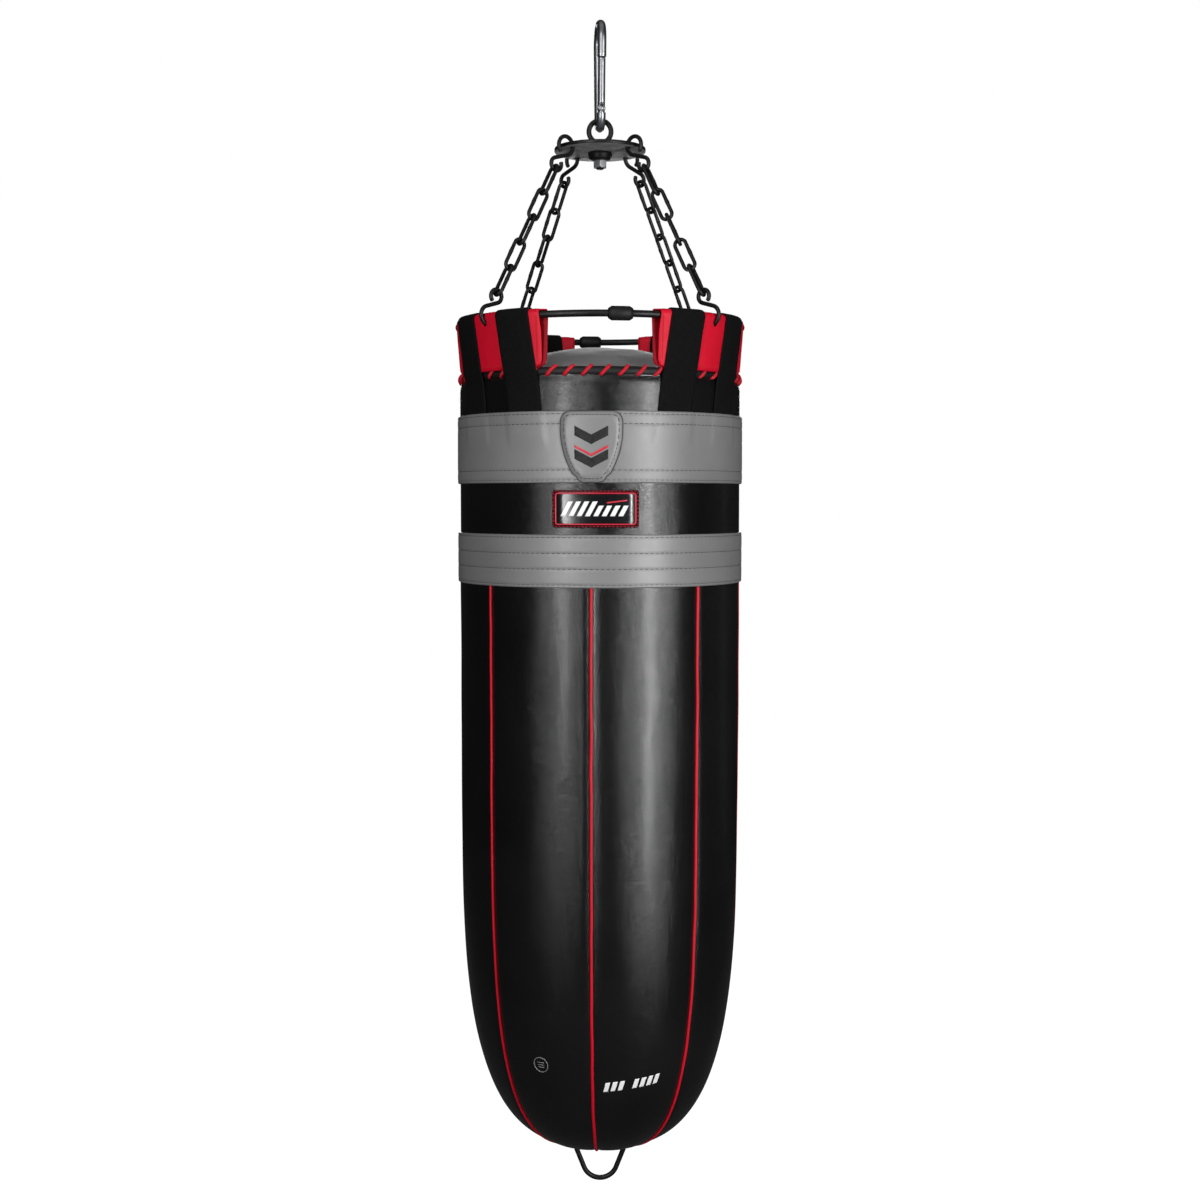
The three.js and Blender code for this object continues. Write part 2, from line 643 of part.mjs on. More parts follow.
buildSnapHook();
buildSwivel();
for (const [name, azimuth] of Object.entries(LEGS)) {
  buildLeg(name, azimuth);
}
buildRing();
buildTabs();
buildStraps();
buildBag();
buildDRing();

export default root;
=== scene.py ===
"""Heavy punching bag: the looks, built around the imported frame.

All shapes are worked out in millimetres in the frame of the part, and become metres in Piece.build.
Azimuth 0 is the front (-Y) and azimuth 90 is the right-hand side (+X).
"""

import math

import bpy
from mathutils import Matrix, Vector, noise


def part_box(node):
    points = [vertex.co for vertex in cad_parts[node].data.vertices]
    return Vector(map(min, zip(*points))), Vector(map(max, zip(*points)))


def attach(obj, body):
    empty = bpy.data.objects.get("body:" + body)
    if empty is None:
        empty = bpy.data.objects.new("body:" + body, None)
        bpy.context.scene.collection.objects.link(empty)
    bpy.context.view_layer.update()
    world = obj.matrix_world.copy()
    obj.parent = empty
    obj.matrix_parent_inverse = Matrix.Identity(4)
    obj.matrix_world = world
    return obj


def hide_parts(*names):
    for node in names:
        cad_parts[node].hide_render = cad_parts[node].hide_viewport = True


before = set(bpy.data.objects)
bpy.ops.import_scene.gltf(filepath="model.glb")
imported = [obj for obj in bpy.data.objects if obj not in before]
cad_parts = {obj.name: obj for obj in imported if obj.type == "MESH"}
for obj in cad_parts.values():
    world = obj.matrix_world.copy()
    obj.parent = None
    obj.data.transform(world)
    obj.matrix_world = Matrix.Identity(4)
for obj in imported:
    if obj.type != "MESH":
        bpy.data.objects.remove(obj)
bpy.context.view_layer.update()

# ---- Driving dimensions, in millimetres and degrees ----

METRES = 0.001


def node_box(node):
    """A node's lowest and highest corner, in millimetres."""
    low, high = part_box(node)
    return low / METRES, high / METRES


BAG_RADIUS = node_box("lower_shell")[1].x
POLE_Z = node_box("lower_shell")[0].z
RIM_Z = node_box("upper_shell")[1].z
TAPER_TOP_Z = -996.9
TAPER_HEIGHT = TAPER_TOP_Z - POLE_Z
TAPER_POWER = 3.558
TAPER_ROOT = 3.048
GORES = 8
SEAM_AZIMUTH = -3.4  # of the front seam

UPPER_BAND = (node_box("upper_band")[1].z, node_box("upper_band")[0].z)
LOWER_BAND = (node_box("lower_band")[1].z, node_box("lower_band")[0].z)
BAND_RADIUS = node_box("upper_band")[1].x
BAND_THICKNESS = 2.7
SKIN_THICKNESS = 3

RING_Z = (node_box("ring_half_left")[0].z + node_box("ring_half_left")[1].z) / 2
RING_RADIUS = 190
RING_WIRE = 4.5
RING_JOINTS = {"front": 7.7, "back": 184.3}
SLEEVE_LENGTH = 31
SLEEVE_RADIUS = 9

LEGS = {"front_left": -48, "front_right": 48, "back_left": -141, "back_right": 135}
LINK_TWIST = {"front_left": -8, "front_right": 28, "back_left": 25, "back_right": 0}
TOP_S = {"upper": (60.5, -161, 12), "lower": (77, -187, 8.5)}  # centre x, centre z, radius
LOW_S = {"upper": (178, -367, 8.5), "lower": (190.5, -391.8, 12)}
S_WIRE = 2.75
LINKS = 5
LINK_WIRE = 2.5
LINK_ARC = 7.2
HOOK_PLAY = 0.6
LINK_PLAY = 0.8
GAP = 0.3
OPEN_END_GAP = 1.2

ROLL_RADIUS = 182.4  # of the rolled rim's centre line
ROLL_Z = RIM_Z + 4.6
ROLL_SIZE = 6.5
LACES = 51

TAB_HALF_WIDTH = 86
TAB_OUTER = 7.5
TAB_LEATHER = 2.2
TAB_BOTTOM_Z = -463
TAB_CORNER = 12
STRAP_WIDTH = 50
STRAP_THICKNESS = 1.8
STRAP_SPACING = 13.75
STRAP_SLANT = 7
STRAP_INNER_END_Z = -450
STRAP_OUTER_END_Z = -545

PLATE_RADIUS = 61.25
PLATE_TOP_Z = node_box("spreader_plate")[1].z
PLATE_BOTTOM_Z = node_box("spreader_plate")[0].z
PLATE_HOLE_AT = 49.2
HOLE_RADIUS = 4.2  # of the holes that the S hooks pass through
BOLT_HOLE_RADIUS = 5.4

HOOK_AZIMUTH = 6
HOOK_WIRE = 6
HOOK_TOP_ARC = (0, -19, 25)
HOOK_BOTTOM_ARC = (0, -113, 16)
GATE_HINGE_Z = -107
GATE_LENGTH = 64.5
GATE_RADIUS = 5
EYE_RADIUS = 14.8
EYE_WIRE = 3.4
EYE_Z = -134.1

D_BAR_Z = -1522
D_WIRE = 3.5


# ---- Points and paths ----


def radial(azimuth, radius, z):
    angle = math.radians(azimuth)
    return Vector((radius * math.sin(angle), -radius * math.cos(angle), z))


def sideways(azimuth):
    angle = math.radians(azimuth)
    return Vector((math.cos(angle), math.sin(angle), 0))


def arc(circle, start, end, step=9):
    """Points (x, z) of an arc of circle (centre x, centre z, radius), in degrees."""
    x, z, radius = circle
    count = max(1, round(abs(end - start) / step))
    angles = [math.radians(start + (end - start) * i / count) for i in range(count + 1)]
    return [(x + radius * math.cos(a), z + radius * math.sin(a)) for a in angles]


def in_plane(points, azimuth):
    """Points of radius and height, in the upright plane at an azimuth."""
    return [radial(azimuth, x, z) for x, z in points]


def line(start, end, count):
    return [start.lerp(end, i / (count - 1)) for i in range(count)]


def around(sides):
    """Evenly spaced azimuths of a full turn, in degrees."""
    return [360 * j / sides for j in range(sides)]


def circle_angles(count):
    """Evenly spaced angles of a full turn, in radians."""
    return [2 * math.pi * k / count for k in range(count)]


def inset(row, distance):
    """The same points, moved in towards the bag's axis."""
    return [p - Vector((p.x, p.y, 0)).normalized() * distance for p in row]


def smooth_step(value):
    value = min(max(value, 0), 1)
    return value * value * (3 - 2 * value)


# ---- Pieces ----


class Piece:
    """Gathers surfaces in millimetres and makes one mesh object of them."""

    def __init__(self):
        self.points = []
        self.faces = []

    def grid(self, rows, wrap=False, loop=False, flip=False):
        """Faces between rows of points. wrap closes each row, loop joins the last row to the first."""
        start = len(self.points)
        width = len(rows[0])
        for row in rows:
            self.points.extend(row)
        for i in range(len(rows) if loop else len(rows) - 1):
            for j in range(width if wrap else width - 1):
                a = start + i * width + j
                b = start + i * width + (j + 1) % width
                c = start + (i + 1) % len(rows) * width + (j + 1) % width
                d = start + (i + 1) % len(rows) * width + j
                self.faces.append((a, d, c, b) if flip else (a, b, c, d))
        return start

    def cap(self, first, count, centre, flip=False):
        """Closes a ring of points with a fan."""
        hub = len(self.points)
        self.points.append(centre)
        for j in range(count):
            a, b = first + j, first + (j + 1) % count
            self.faces.append((b, a, hub) if flip else (a, b, hub))

    def tube(self, path, radius, sides=14, closed=False, dome=0.35):
        """A round wire along a path. radius is a number or a function of the share of the length."""
        radius_at = radius if callable(radius) else (lambda share: radius)
        count = len(path)
        tangents = []
        for i in range(count):
            before = path[i - 1] if closed or i > 0 else path[0]
            after = path[(i + 1) % count] if closed or i < count - 1 else path[-1]
            tangents.append((after - before).normalized())
        across = tangents[0].orthogonal().normalized()
        rows = []
        for i, (point, tangent) in enumerate(zip(path, tangents)):
            across = (across - tangent * across.dot(tangent)).normalized()
            up = tangent.cross(across)
            size = radius_at(i / (count - 1))
            rows.append([
                point + (across * math.cos(a) + up * math.sin(a)) * size for a in circle_angles(sides)
            ])
        start = self.grid(rows, wrap=True, loop=closed)
        if closed:
            return
        for end, tangent, row in ((0, -tangents[0], rows[0]), (-1, tangents[-1], rows[-1])):
            middle = path[end]
            size = radius_at(0 if end == 0 else 1)
            inner = [middle + (p - middle) * 0.72 + tangent * size * dome * 0.8 for p in row]
            ring = len(self.points)
            self.points.extend(inner)
            base = start if end == 0 else start + (count - 1) * sides
            for j in range(sides):
                a, b = base + j, base + (j + 1) % sides
                c, d = ring + (j + 1) % sides, ring + j
                self.faces.append((b, a, d, c) if end == 0 else (a, b, c, d))
            self.cap(ring, sides, middle + tangent * size * dome, flip=end == 0)

    def turned(self, profile, sides=96, closed=True, placed=None):
        """A profile of (radius, height) turned about the Z axis, or about one given by placed."""
        placed = placed or (lambda p: p)
        rows = [[placed(radial(a, radius, z)) for a in around(sides)] for radius, z in profile]
        return self.grid(rows, wrap=True, loop=closed)

    def slab(self, top, bottom):
        """A closed sheet from two grids of points of the same size, joined along their edges."""
        first = self.grid(top)
        second = self.grid(bottom, flip=True)
        rows, width = len(top), len(top[0])
        edge = [(0, j) for j in range(width)] + [(i, width - 1) for i in range(1, rows)]
        edge += [(rows - 1, j) for j in range(width - 2, -1, -1)]
        edge += [(i, 0) for i in range(rows - 2, 0, -1)]
        indices = [i * width + j for i, j in edge]
        for k, a in enumerate(indices):
            b = indices[(k + 1) % len(indices)]
            self.faces.append((first + b, first + a, second + a, second + b))

    def build(self, name, material, *nodes, body="bag"):
        """Makes the mesh object. It rides on the body and stands for the CAD nodes."""
        mesh = bpy.data.meshes.new(name)
        mesh.from_pydata([p * METRES for p in self.points], [], self.faces)
        mesh.validate()
        mesh.materials.append(material)
        mesh.polygons.foreach_set("use_smooth", [True] * len(mesh.polygons))
        piece = bpy.data.objects.new(name, mesh)
        bpy.context.scene.collection.objects.link(piece)
        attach(piece, body)
        if nodes:
            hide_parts(*nodes)
        return piece


def apply_modifiers(piece):
    """Replaces the piece's mesh with what its modifiers make of it."""
    bpy.context.view_layer.update()
    graph = bpy.context.evaluated_depsgraph_get()
    mesh = bpy.data.meshes.new_from_object(piece.evaluated_get(graph))
    piece.modifiers.clear()
    piece.data = mesh


def cut_away(piece, cutters):
    """Cuts closed meshes out of a piece."""
    for cutter in cutters:
        modifier = piece.modifiers.new("cut", "BOOLEAN")
        modifier.operation = "DIFFERENCE"
        modifier.solver = "EXACT"
        modifier.object = cutter
    apply_modifiers(piece)
    for cutter in cutters:
        bpy.data.objects.remove(cutter)


def sharp_edges(piece, degrees=35):
    piece.data.set_sharp_from_angle(angle=math.radians(degrees))


# ---- Materials ----


class Finish:
    """A node-based material with one Principled shader."""

    def __init__(self, name, color, roughness, metallic=0.0, specular=0.5):
        self.material = bpy.data.materials.new(name)
        self.material.use_nodes = True
        self.nodes = self.material.node_tree.nodes
        self.links = self.material.node_tree.links
        self.shader = self.nodes["Principled BSDF"]
        self.shader.inputs["Base Color"].default_value = (*color, 1)
        self.shader.inputs["Roughness"].default_value = roughness
        self.shader.inputs["Metallic"].default_value = metallic
        self.shader.inputs["Specular IOR Level"].default_value = specular
        self.coords = self.nodes.new("ShaderNodeTexCoord").outputs["Object"]
        self.relief = None

    def node(self, kind, output, **inputs):
        """Adds a node. An input that is a socket is linked, and any other is set on the node."""
        node = self.nodes.new(kind)
        for name, value in inputs.items():
            socket = node.inputs[name.replace("_", " ")]
            if isinstance(value, bpy.types.NodeSocket):
                self.links.new(value, socket)
            else:
                socket.default_value = value
        return node.outputs[output]

    def noise(self, scale, detail=4, roughness=0.55):
        return self.node(
            "ShaderNodeTexNoise", "Fac", Vector=self.coords, Scale=scale, Detail=detail, Roughness=roughness
        )

    def cells(self, scale):
        distance = self.node("ShaderNodeTexVoronoi", "Distance", Vector=self.coords, Scale=scale)
        distance.node.feature = "DISTANCE_TO_EDGE"
        return distance.node.outputs["Distance"]

    def waves(self, scale, direction="Z"):
        height = self.node("ShaderNodeTexWave", "Fac", Vector=self.coords, Scale=scale)
        height.node.bands_direction = direction
        return height

    def spread(self, source, low, high, from_low=0.3, from_high=0.7):
        return self.node(
            "ShaderNodeMapRange", "Result",
            Value=source, From_Min=from_low, From_Max=from_high, To_Min=low, To_Max=high,
        )

    def vary_color(self, source, first, second, low=0.3, high=0.7):
        color = self.node("ShaderNodeValToRGB", "Color", Fac=source)
        stops = color.node.color_ramp.elements
        for stop, position, shade in ((stops[0], low, first), (stops[1], high, second)):
            stop.position = position
            stop.color = (*shade, 1)
        self.links.new(color, self.shader.inputs["Base Color"])

    def vary_roughness(self, source, low, high):
        self.links.new(self.spread(source, low, high), self.shader.inputs["Roughness"])

    def bump(self, source, strength, distance):
        """Adds relief on top of the relief already there, with its distance in metres."""
        below = {} if self.relief is None else {"Normal": self.relief}
        self.relief = self.node(
            "ShaderNodeBump", "Normal", Strength=strength, Distance=distance, Height=source, **below
        )
        self.links.new(self.relief, self.shader.inputs["Normal"])


def grey(level, blue):
    """A near-neutral colour."""
    return (level, level, blue)


def leather(name, dark, light, roughness, grain=620, depth=0.00012, specular=0.5):
    """Cloudy colour, soft creases, pebbled grain and fine pores. grain is cells to the metre."""
    finish = Finish(name, dark, roughness[0], specular=specular)
    finish.vary_color(finish.noise(9, detail=5), dark, light)
    finish.vary_roughness(finish.noise(150), *roughness)
    finish.bump(finish.noise(42, detail=6, roughness=0.65), 0.4, 0.0009)
    finish.bump(finish.spread(finish.cells(grain), 0, 1, 0, 0.16), 0.5, depth)
    finish.bump(finish.noise(grain * 2.4, detail=2), 0.35, depth * 0.5)
    return finish.material


def coated_steel(name, color, roughness):
    """Powder-coated steel or moulded plastic, with rubbed lighter places."""
    finish = Finish(name, color, roughness[0], specular=0.28)
    finish.vary_roughness(finish.noise(90), *roughness)
    finish.vary_color(finish.noise(55, detail=6), color, tuple(c * 1.9 for c in color), 0.45, 0.8)
    finish.bump(finish.noise(900, detail=3), 0.25, 0.0001)
    return finish.material


def bright_steel(name, color, roughness):
    """Zinc-plated steel, slightly clouded."""
    finish = Finish(name, color, roughness[0], metallic=1.0)
    finish.vary_roughness(finish.noise(60), *roughness)
    finish.vary_color(finish.noise(40), tuple(c * 0.8 for c in color), color, 0.35, 0.65)
    finish.bump(finish.noise(260, detail=3), 0.05, 0.00003)
    return finish.material


def woven(name, dark, light):
    """Flat webbing, with ribs across it and a fine weave."""
    finish = Finish(name, dark, 0.85, specular=0.12)
    finish.vary_color(finish.noise(240, detail=3), dark, light)
    finish.bump(finish.waves(330), 0.7, 0.0005)
    finish.bump(finish.cells(900), 0.4, 0.0003)
    finish.bump(finish.noise(1600, detail=2), 0.4, 0.0002)
    return finish.material


def thread(name, color):
    """Twisted thread or cord."""
    finish = Finish(name, color, 0.6, specular=0.4)
    finish.vary_color(finish.noise(700, detail=2), color, tuple(c * 0.6 for c in color))
    finish.bump(finish.waves(1500, "DIAGONAL"), 0.5, 0.0002)
    return finish.material


def print_ink(name, color, roughness):
    finish = Finish(name, color, roughness)
    finish.vary_roughness(finish.noise(200, detail=3), roughness * 0.85, roughness * 1.15)
    finish.bump(finish.noise(700, detail=2), 0.15, 0.0001)
    return finish.material


BLACK_LEATHER = leather("black_leather", grey(0.003, 0.0032), grey(0.0055, 0.0058), (0.2, 0.25))
RIM_LEATHER = leather(
    "rim_leather", grey(0.004, 0.0042), grey(0.007, 0.0073), (0.45, 0.6), specular=0.3
)
GREY_LEATHER = leather(
    "grey_leather", grey(0.165, 0.167), grey(0.195, 0.197), (0.34, 0.42),
    grain=800, depth=0.00006, specular=0.6,
)
COVER_LEATHER = leather(
    "cover_leather", grey(0.15, 0.152), grey(0.2, 0.202), (0.55, 0.7), grain=700, specular=0.3
)
RED_LEATHER = leather(
    "red_leather", (0.5, 0.001, 0.015), (0.6, 0.002, 0.021), (0.5, 0.62),
    grain=700, depth=0.00008, specular=0.25,
)
# A darker copy of the red leather: painted shade for the faces inside the tabs' folds
RED_FOLD_SHADE = leather(
    "red_fold_shade", (0.2, 0.0008, 0.006), (0.26, 0.001, 0.008), (0.55, 0.65),
    grain=700, depth=0.00008, specular=0.15,
)
PIPING = leather(
    "red_piping", (0.46, 0.002, 0.012), (0.55, 0.003, 0.018), (0.4, 0.5),
    grain=1400, depth=0.00003, specular=0.3,
)
WEBBING = woven("black_webbing", grey(0.003, 0.0032), grey(0.0055, 0.0058))
BLACK_STEEL = coated_steel("black_steel", grey(0.0045, 0.005), (0.36, 0.5))
# A light grey that stands in for light on the plate's underside: painted light on the plate's flat faces
PLATE_GREY_PAINTED_LIGHT = coated_steel("plate_steel", grey(0.2, 0.203), (0.45, 0.58))
SLEEVE_PLASTIC = coated_steel("sleeve_plastic", grey(0.005, 0.0053), (0.5, 0.62))
ZINC = bright_steel("zinc_steel", (0.36, 0.365, 0.38), (0.36, 0.44))
RED_THREAD = thread("red_thread", (0.6, 0.004, 0.02))
GREY_THREAD = thread("grey_thread", grey(0.055, 0.058))
LABEL_GLOSS = print_ink("label_gloss", grey(0.005, 0.006), 0.22)
WHITE_PRINT = print_ink("white_print", grey(0.75, 0.75), 0.35)
BLACK_PRINT = print_ink("black_print", grey(0.004, 0.0045), 0.75)
RED_PRINT = print_ink("red_print", (0.5, 0.01, 0.03), 0.4)
GREY_PRINT = print_ink("grey_print", grey(0.2, 0.2), 0.45)

# The record's slot that each material belongs to
SLOTS = {
    "black_leather": (BLACK_LEATHER, RIM_LEATHER, LABEL_GLOSS, WHITE_PRINT, BLACK_PRINT, GREY_PRINT),
    "grey_leather": (GREY_LEATHER, COVER_LEATHER, GREY_THREAD),
    "red_leather": (RED_LEATHER, PIPING, RED_THREAD, RED_PRINT),
    "webbing": (WEBBING,),
    "black_steel": (BLACK_STEEL, PLATE_GREY_PAINTED_LIGHT),
    "black_plastic": (SLEEVE_PLASTIC,),
    "zinc_steel": (ZINC,),
}
SLOT_OF = {material.name: slot for slot, materials in SLOTS.items() for material in materials}


# ---- The bag's surface ----


def profile_radius(z):
    """Radius of the plain turned bag at a height."""
    share = min(max((TAPER_TOP_Z - z) / TAPER_HEIGHT, 0), 1)
    return BAG_RADIUS * max(1 - share**TAPER_POWER, 0) ** (1 / TAPER_ROOT)


def seam_distance(azimuth):
    """Where an azimuth lies in its gore: 0 at a seam, 0.5 in the middle."""
    share = (azimuth - SEAM_AZIMUTH) / (360 / GORES) % 1
    return min(share, 1 - share)


def unevenness(azimuth, z, seed):
    """Slow hollows and swells of packed leather, in millimetres."""
    around = radial(azimuth, 1.6, 0)
    slow = noise.noise(Vector((around.x, around.y, z / 260 + seed)))
    quick = noise.noise(Vector((around.x * 3, around.y * 3, z / 75 - seed)))
    return 1.1 * slow + 0.35 * quick


def gore_offset(azimuth, z):
    """Gores bulge between the seams, more where the bag narrows, and dip at each seam."""
    place = seam_distance(azimuth)
    low_down = smooth_step((-820 - z) / 500)
    swell = (0.5 + 2.2 * low_down) * (math.sin(math.pi * place) - 0.62)
    across = place * 2 * math.pi * max(profile_radius(z), 30) / GORES
    groove = -1.9 * math.exp(-((across / 4.5) ** 2))
    return swell + groove


def skin_point(azimuth, radius, z, lift=0.0):
    """A point on the lower skin."""
    fade = smooth_step(radius / 60)
    offset = (gore_offset(azimuth, z) + unevenness(azimuth, z, 3)) * fade + lift
    return radial(azimuth, radius + offset, z)


def taper_station(share):
    """(radius, z) on the rounded bottom: share 0 at its top and 1 at the pole."""
    angle = share * math.pi / 2
    radius = BAG_RADIUS * max(math.cos(angle), 0) ** (2 / TAPER_ROOT)
    return radius, TAPER_TOP_Z - TAPER_HEIGHT * math.sin(angle) ** (2 / TAPER_POWER)


def skin_stations(top):
    straight = [(BAG_RADIUS, top + (TAPER_TOP_Z - top) * i / 60) for i in range(60)]
    rounded = [taper_station((i / 110) ** 1.15) for i in range(111)]
    return straight + rounded


def build_lower_skin():
    skin = Piece()
    sides = GORES * 36
    stations = skin_stations(LOWER_BAND[1] + 25)
    rows = [[skin_point(SEAM_AZIMUTH + a, r, z) for a in around(sides)] for r, z in stations[:-1]]
    start = skin.grid(rows, wrap=True, flip=True)
    skin.cap(start + (len(rows) - 1) * sides, sides, Vector((0, 0, POLE_Z)), flip=True)
    skin.grid([inset(rows[0], SKIN_THICKNESS), rows[0]], wrap=True, flip=True)
    piece = skin.build("lower_skin", BLACK_LEATHER, "lower_shell")


def build_piping():
    """Red corded piping in the eight seams, down to the patch under the bag."""
    piping = Piece()
    end_radius = 40
    for gore in range(GORES):
        azimuth = SEAM_AZIMUTH + gore * 360 / GORES
        path = []
        for radius, z in skin_stations(LOWER_BAND[1] + 6):
            if radius < end_radius:
                break
            wander = 0.25 * noise.noise(Vector((gore * 7.3, 0, z / 45)))
            path.append(skin_point(azimuth + wander, radius, z, lift=0.9))
        piping.tube(path, 2.0, sides=10)
    piping.build("seam_piping", PIPING)


def build_bottom_patch():
    """The round patch under the bag that the gores' ends and the D-ring keeper are sewn to."""
    patch = Piece()
    outer_radius, proud, sides = 46, 1.2, 48
    rows = []
    for i in range(13):
        radius = max(outer_radius * i / 12, 0.5)
        drop = (1 - (radius / BAG_RADIUS) ** TAPER_ROOT) ** (1 / TAPER_POWER)
        z = TAPER_TOP_Z - TAPER_HEIGHT * drop - proud
        rows.append([radial(a, radius, z) for a in around(sides)])
    edge = [Vector((p.x * 1.02, p.y * 1.02, p.z + 1.6)) for p in rows[-1]]
    start = patch.grid([*rows, edge], wrap=True)
    patch.cap(start, sides, Vector((0, 0, POLE_Z - proud)), flip=True)
    patch.build("bottom_patch", RIM_LEATHER)


def strap_cover(azimuth, z):
    """How far the upper band stands over a strap's end, from 0 to 1."""
    best = 0
    for _name, at_ring, lean in straps():
        turn = azimuth - strap_middle(at_ring, lean, z)
        away = abs((turn + 180) % 360 - 180) * math.radians(BAND_RADIUS)
        best = max(best, smooth_step((STRAP_WIDTH / 2 + 6 - away) / 7))
    return best * smooth_step((z - STRAP_OUTER_END_Z + 22) / 24)


def build_upper_skin():
    """The black leather wall from the rim to behind the lower band."""
    skin = Piece()
    sides = 240
    bottom = LOWER_BAND[1] + 20
    count = 90
    rows = []
    for i in range(count + 1):
        z = RIM_Z + 3 + (bottom - RIM_Z - 3) * i / count
        tuck = -2.2 * math.exp(-(((z - RIM_Z) / 5) ** 2))
        rows.append([
            radial(a, BAG_RADIUS - 0.3 + tuck + 0.55 * unevenness(a, z, 8), z) for a in around(sides)
        ])
    inner = [inset(row, SKIN_THICKNESS) for row in (rows[-1], rows[0])]
    skin.grid([*rows, *inner], wrap=True, loop=True, flip=True)
    piece = skin.build("upper_skin", BLACK_LEATHER, "upper_shell", "filling")


def band_rows(limits, seams, bulge):
    """Rows of a sewn band: rounded edges, and a slight dip along each row of stitches."""
    top, bottom = limits
    sides = 360
    count = 70
    rows = []
    for i in range(count + 1):
        z = top + (bottom - top) * i / count
        edge = min(top - z, z - bottom)
        rounding = -1.6 * (1 - math.sqrt(max(1 - (1 - min(edge / 1.8, 1)) ** 2, 0)))
        dip = sum(-0.55 * math.exp(-(((z - seam) / 1.6) ** 2)) for seam in seams)
        rows.append([
            radial(a, BAND_RADIUS + rounding + dip + 0.35 * unevenness(a, z, 5) + bulge(a, z), z)
            for a in around(sides)
        ])
    return rows


def build_band(name, limits, seams, bulge=lambda azimuth, z: 0):
    band = Piece()
    rows = band_rows(limits, seams, bulge)
    inner = [inset(row, BAND_THICKNESS - 0.4) for row in (rows[-1], rows[0])]
    band.grid([*rows, *inner], wrap=True, loop=True, flip=True)
    band.build(f"{name}_leather", GREY_LEATHER, name)
    stitches = Piece()
    for seam in seams:
        count = 172
        step = 360 / count
        for k in range(count):
            a = k * step
            jitter = 0.12 * noise.noise(Vector((k * 1.7, seam, 0)))
            ends = [a + step * 0.16, a + step * 0.84]
            path = []
            for b, lift in ((ends[0], -0.5), (ends[0] + 0.25, 0.1), (ends[1] - 0.25, 0.1), (ends[1], -0.5)):
                surface = BAND_RADIUS - 0.45 + 0.35 * unevenness(b, seam, 5) + bulge(b, seam)
                path.append(radial(b, surface + lift, seam + jitter))
            stitches.tube(path, 0.42, sides=6)
    stitches.build(f"{name}_stitches", GREY_THREAD)


def build_bands():
    inset, second = 3.6, 16
    top, bottom = UPPER_BAND
    upper_seams = [top - inset, top - second, bottom + second, bottom + inset]
    build_band("upper_band", UPPER_BAND, upper_seams, strap_cover)
    top, bottom = LOWER_BAND
    spacing = (top - bottom - 2 * inset) / 3
    build_band("lower_band", LOWER_BAND, [top - inset - i * spacing for i in range(4)])


# ---- Patches and marks ----


def beside(azimuth, s, radius):
    """The azimuth s millimetres along a circle from an azimuth."""
    return azimuth + math.degrees(s / radius)


def upright_surface(azimuth, centre_z, radius):
    """Maps (s, z, lift) beside a centre to a point on an upright cylinder."""
    return lambda s, z, lift: radial(beside(azimuth, s, radius + lift), radius + lift, centre_z + z)


def skin_surface(azimuth, centre_z, rise=0.0):
    """The same on the lower skin. rise tilts a row of marks."""
    at = profile_radius(centre_z)

    def place(s, z, lift):
        height = centre_z + z + rise * s
        return skin_point(beside(azimuth, s, at), profile_radius(height), height, lift)

    return place


def flat_mark(piece, outline, surface, thickness, base=0.0):
    """A thin raised shape laid on a surface. outline is a list of (s, z) going round."""
    count = len(outline)
    centre = (sum(s for s, z in outline) / count, sum(z for s, z in outline) / count)
    start = len(piece.points)
    rings = [(1, base)] + [(share, base + thickness) for share in (0.985, 0.75, 0.5, 0.25, 0.05)]
    piece.grid([
        [surface(centre[0] + (s - centre[0]) * k, centre[1] + (z - centre[1]) * k, lift) for s, z in outline]
        for k, lift in rings
    ], wrap=True)
    piece.cap(start + (len(rings) - 1) * count, count, surface(*centre, base + thickness))


def on_surface(surface, outline, lift):
    return [surface(s, z, lift) for s, z in outline]


def subdivided(outline, step=2.0):
    """More points along the straight sides of an outline."""
    result = []
    for i, (s, z) in enumerate(outline):
        s2, z2 = outline[(i + 1) % len(outline)]
        count = max(1, round(math.hypot(s2 - s, z2 - z) / step))
        result.extend((s + (s2 - s) * k / count, z + (z2 - z) * k / count) for k in range(count))
    return result


def offset_outline(outline, distance):
    """The same outline, moved inwards."""
    result = []
    for i, (s, z) in enumerate(outline):
        before, after = outline[i - 1], outline[(i + 1) % len(outline)]
        ds, dz = after[0] - before[0], after[1] - before[1]
        size = math.hypot(ds, dz) or 1
        result.append((s - dz / size * distance, z + ds / size * distance))
    return result


def shield_outline():
    """Counter-clockwise from the top right corner: straight top, sides that draw in to the bottom."""
    height = UPPER_BAND[0] - UPPER_BAND[1] - 1.5
    half_top, draw_in, corner = 39, 22, 13

    def half_width(share):
        return half_top - draw_in * (max(share - 0.25, 0) / 0.75) ** 2

    def side(sign):
        return [(sign * half_width(k / 24), height / 2 - height * k / 24) for k in range(4, 22)]

    right_corner = arc((half_top - corner, height / 2 - corner, corner), 0, 90, 10)
    left_corner = [(-s, z) for s, z in reversed(right_corner)]
    foot = 9
    foot_x = half_width(1) - foot + 1.5
    left_foot = arc((-foot_x, foot - height / 2, foot), 195, 270, 12)
    right_foot = arc((foot_x, foot - height / 2, foot), 270, 345, 12)
    return [*right_corner, *left_corner, *side(-1), *left_foot, *right_foot, *reversed(side(1))]


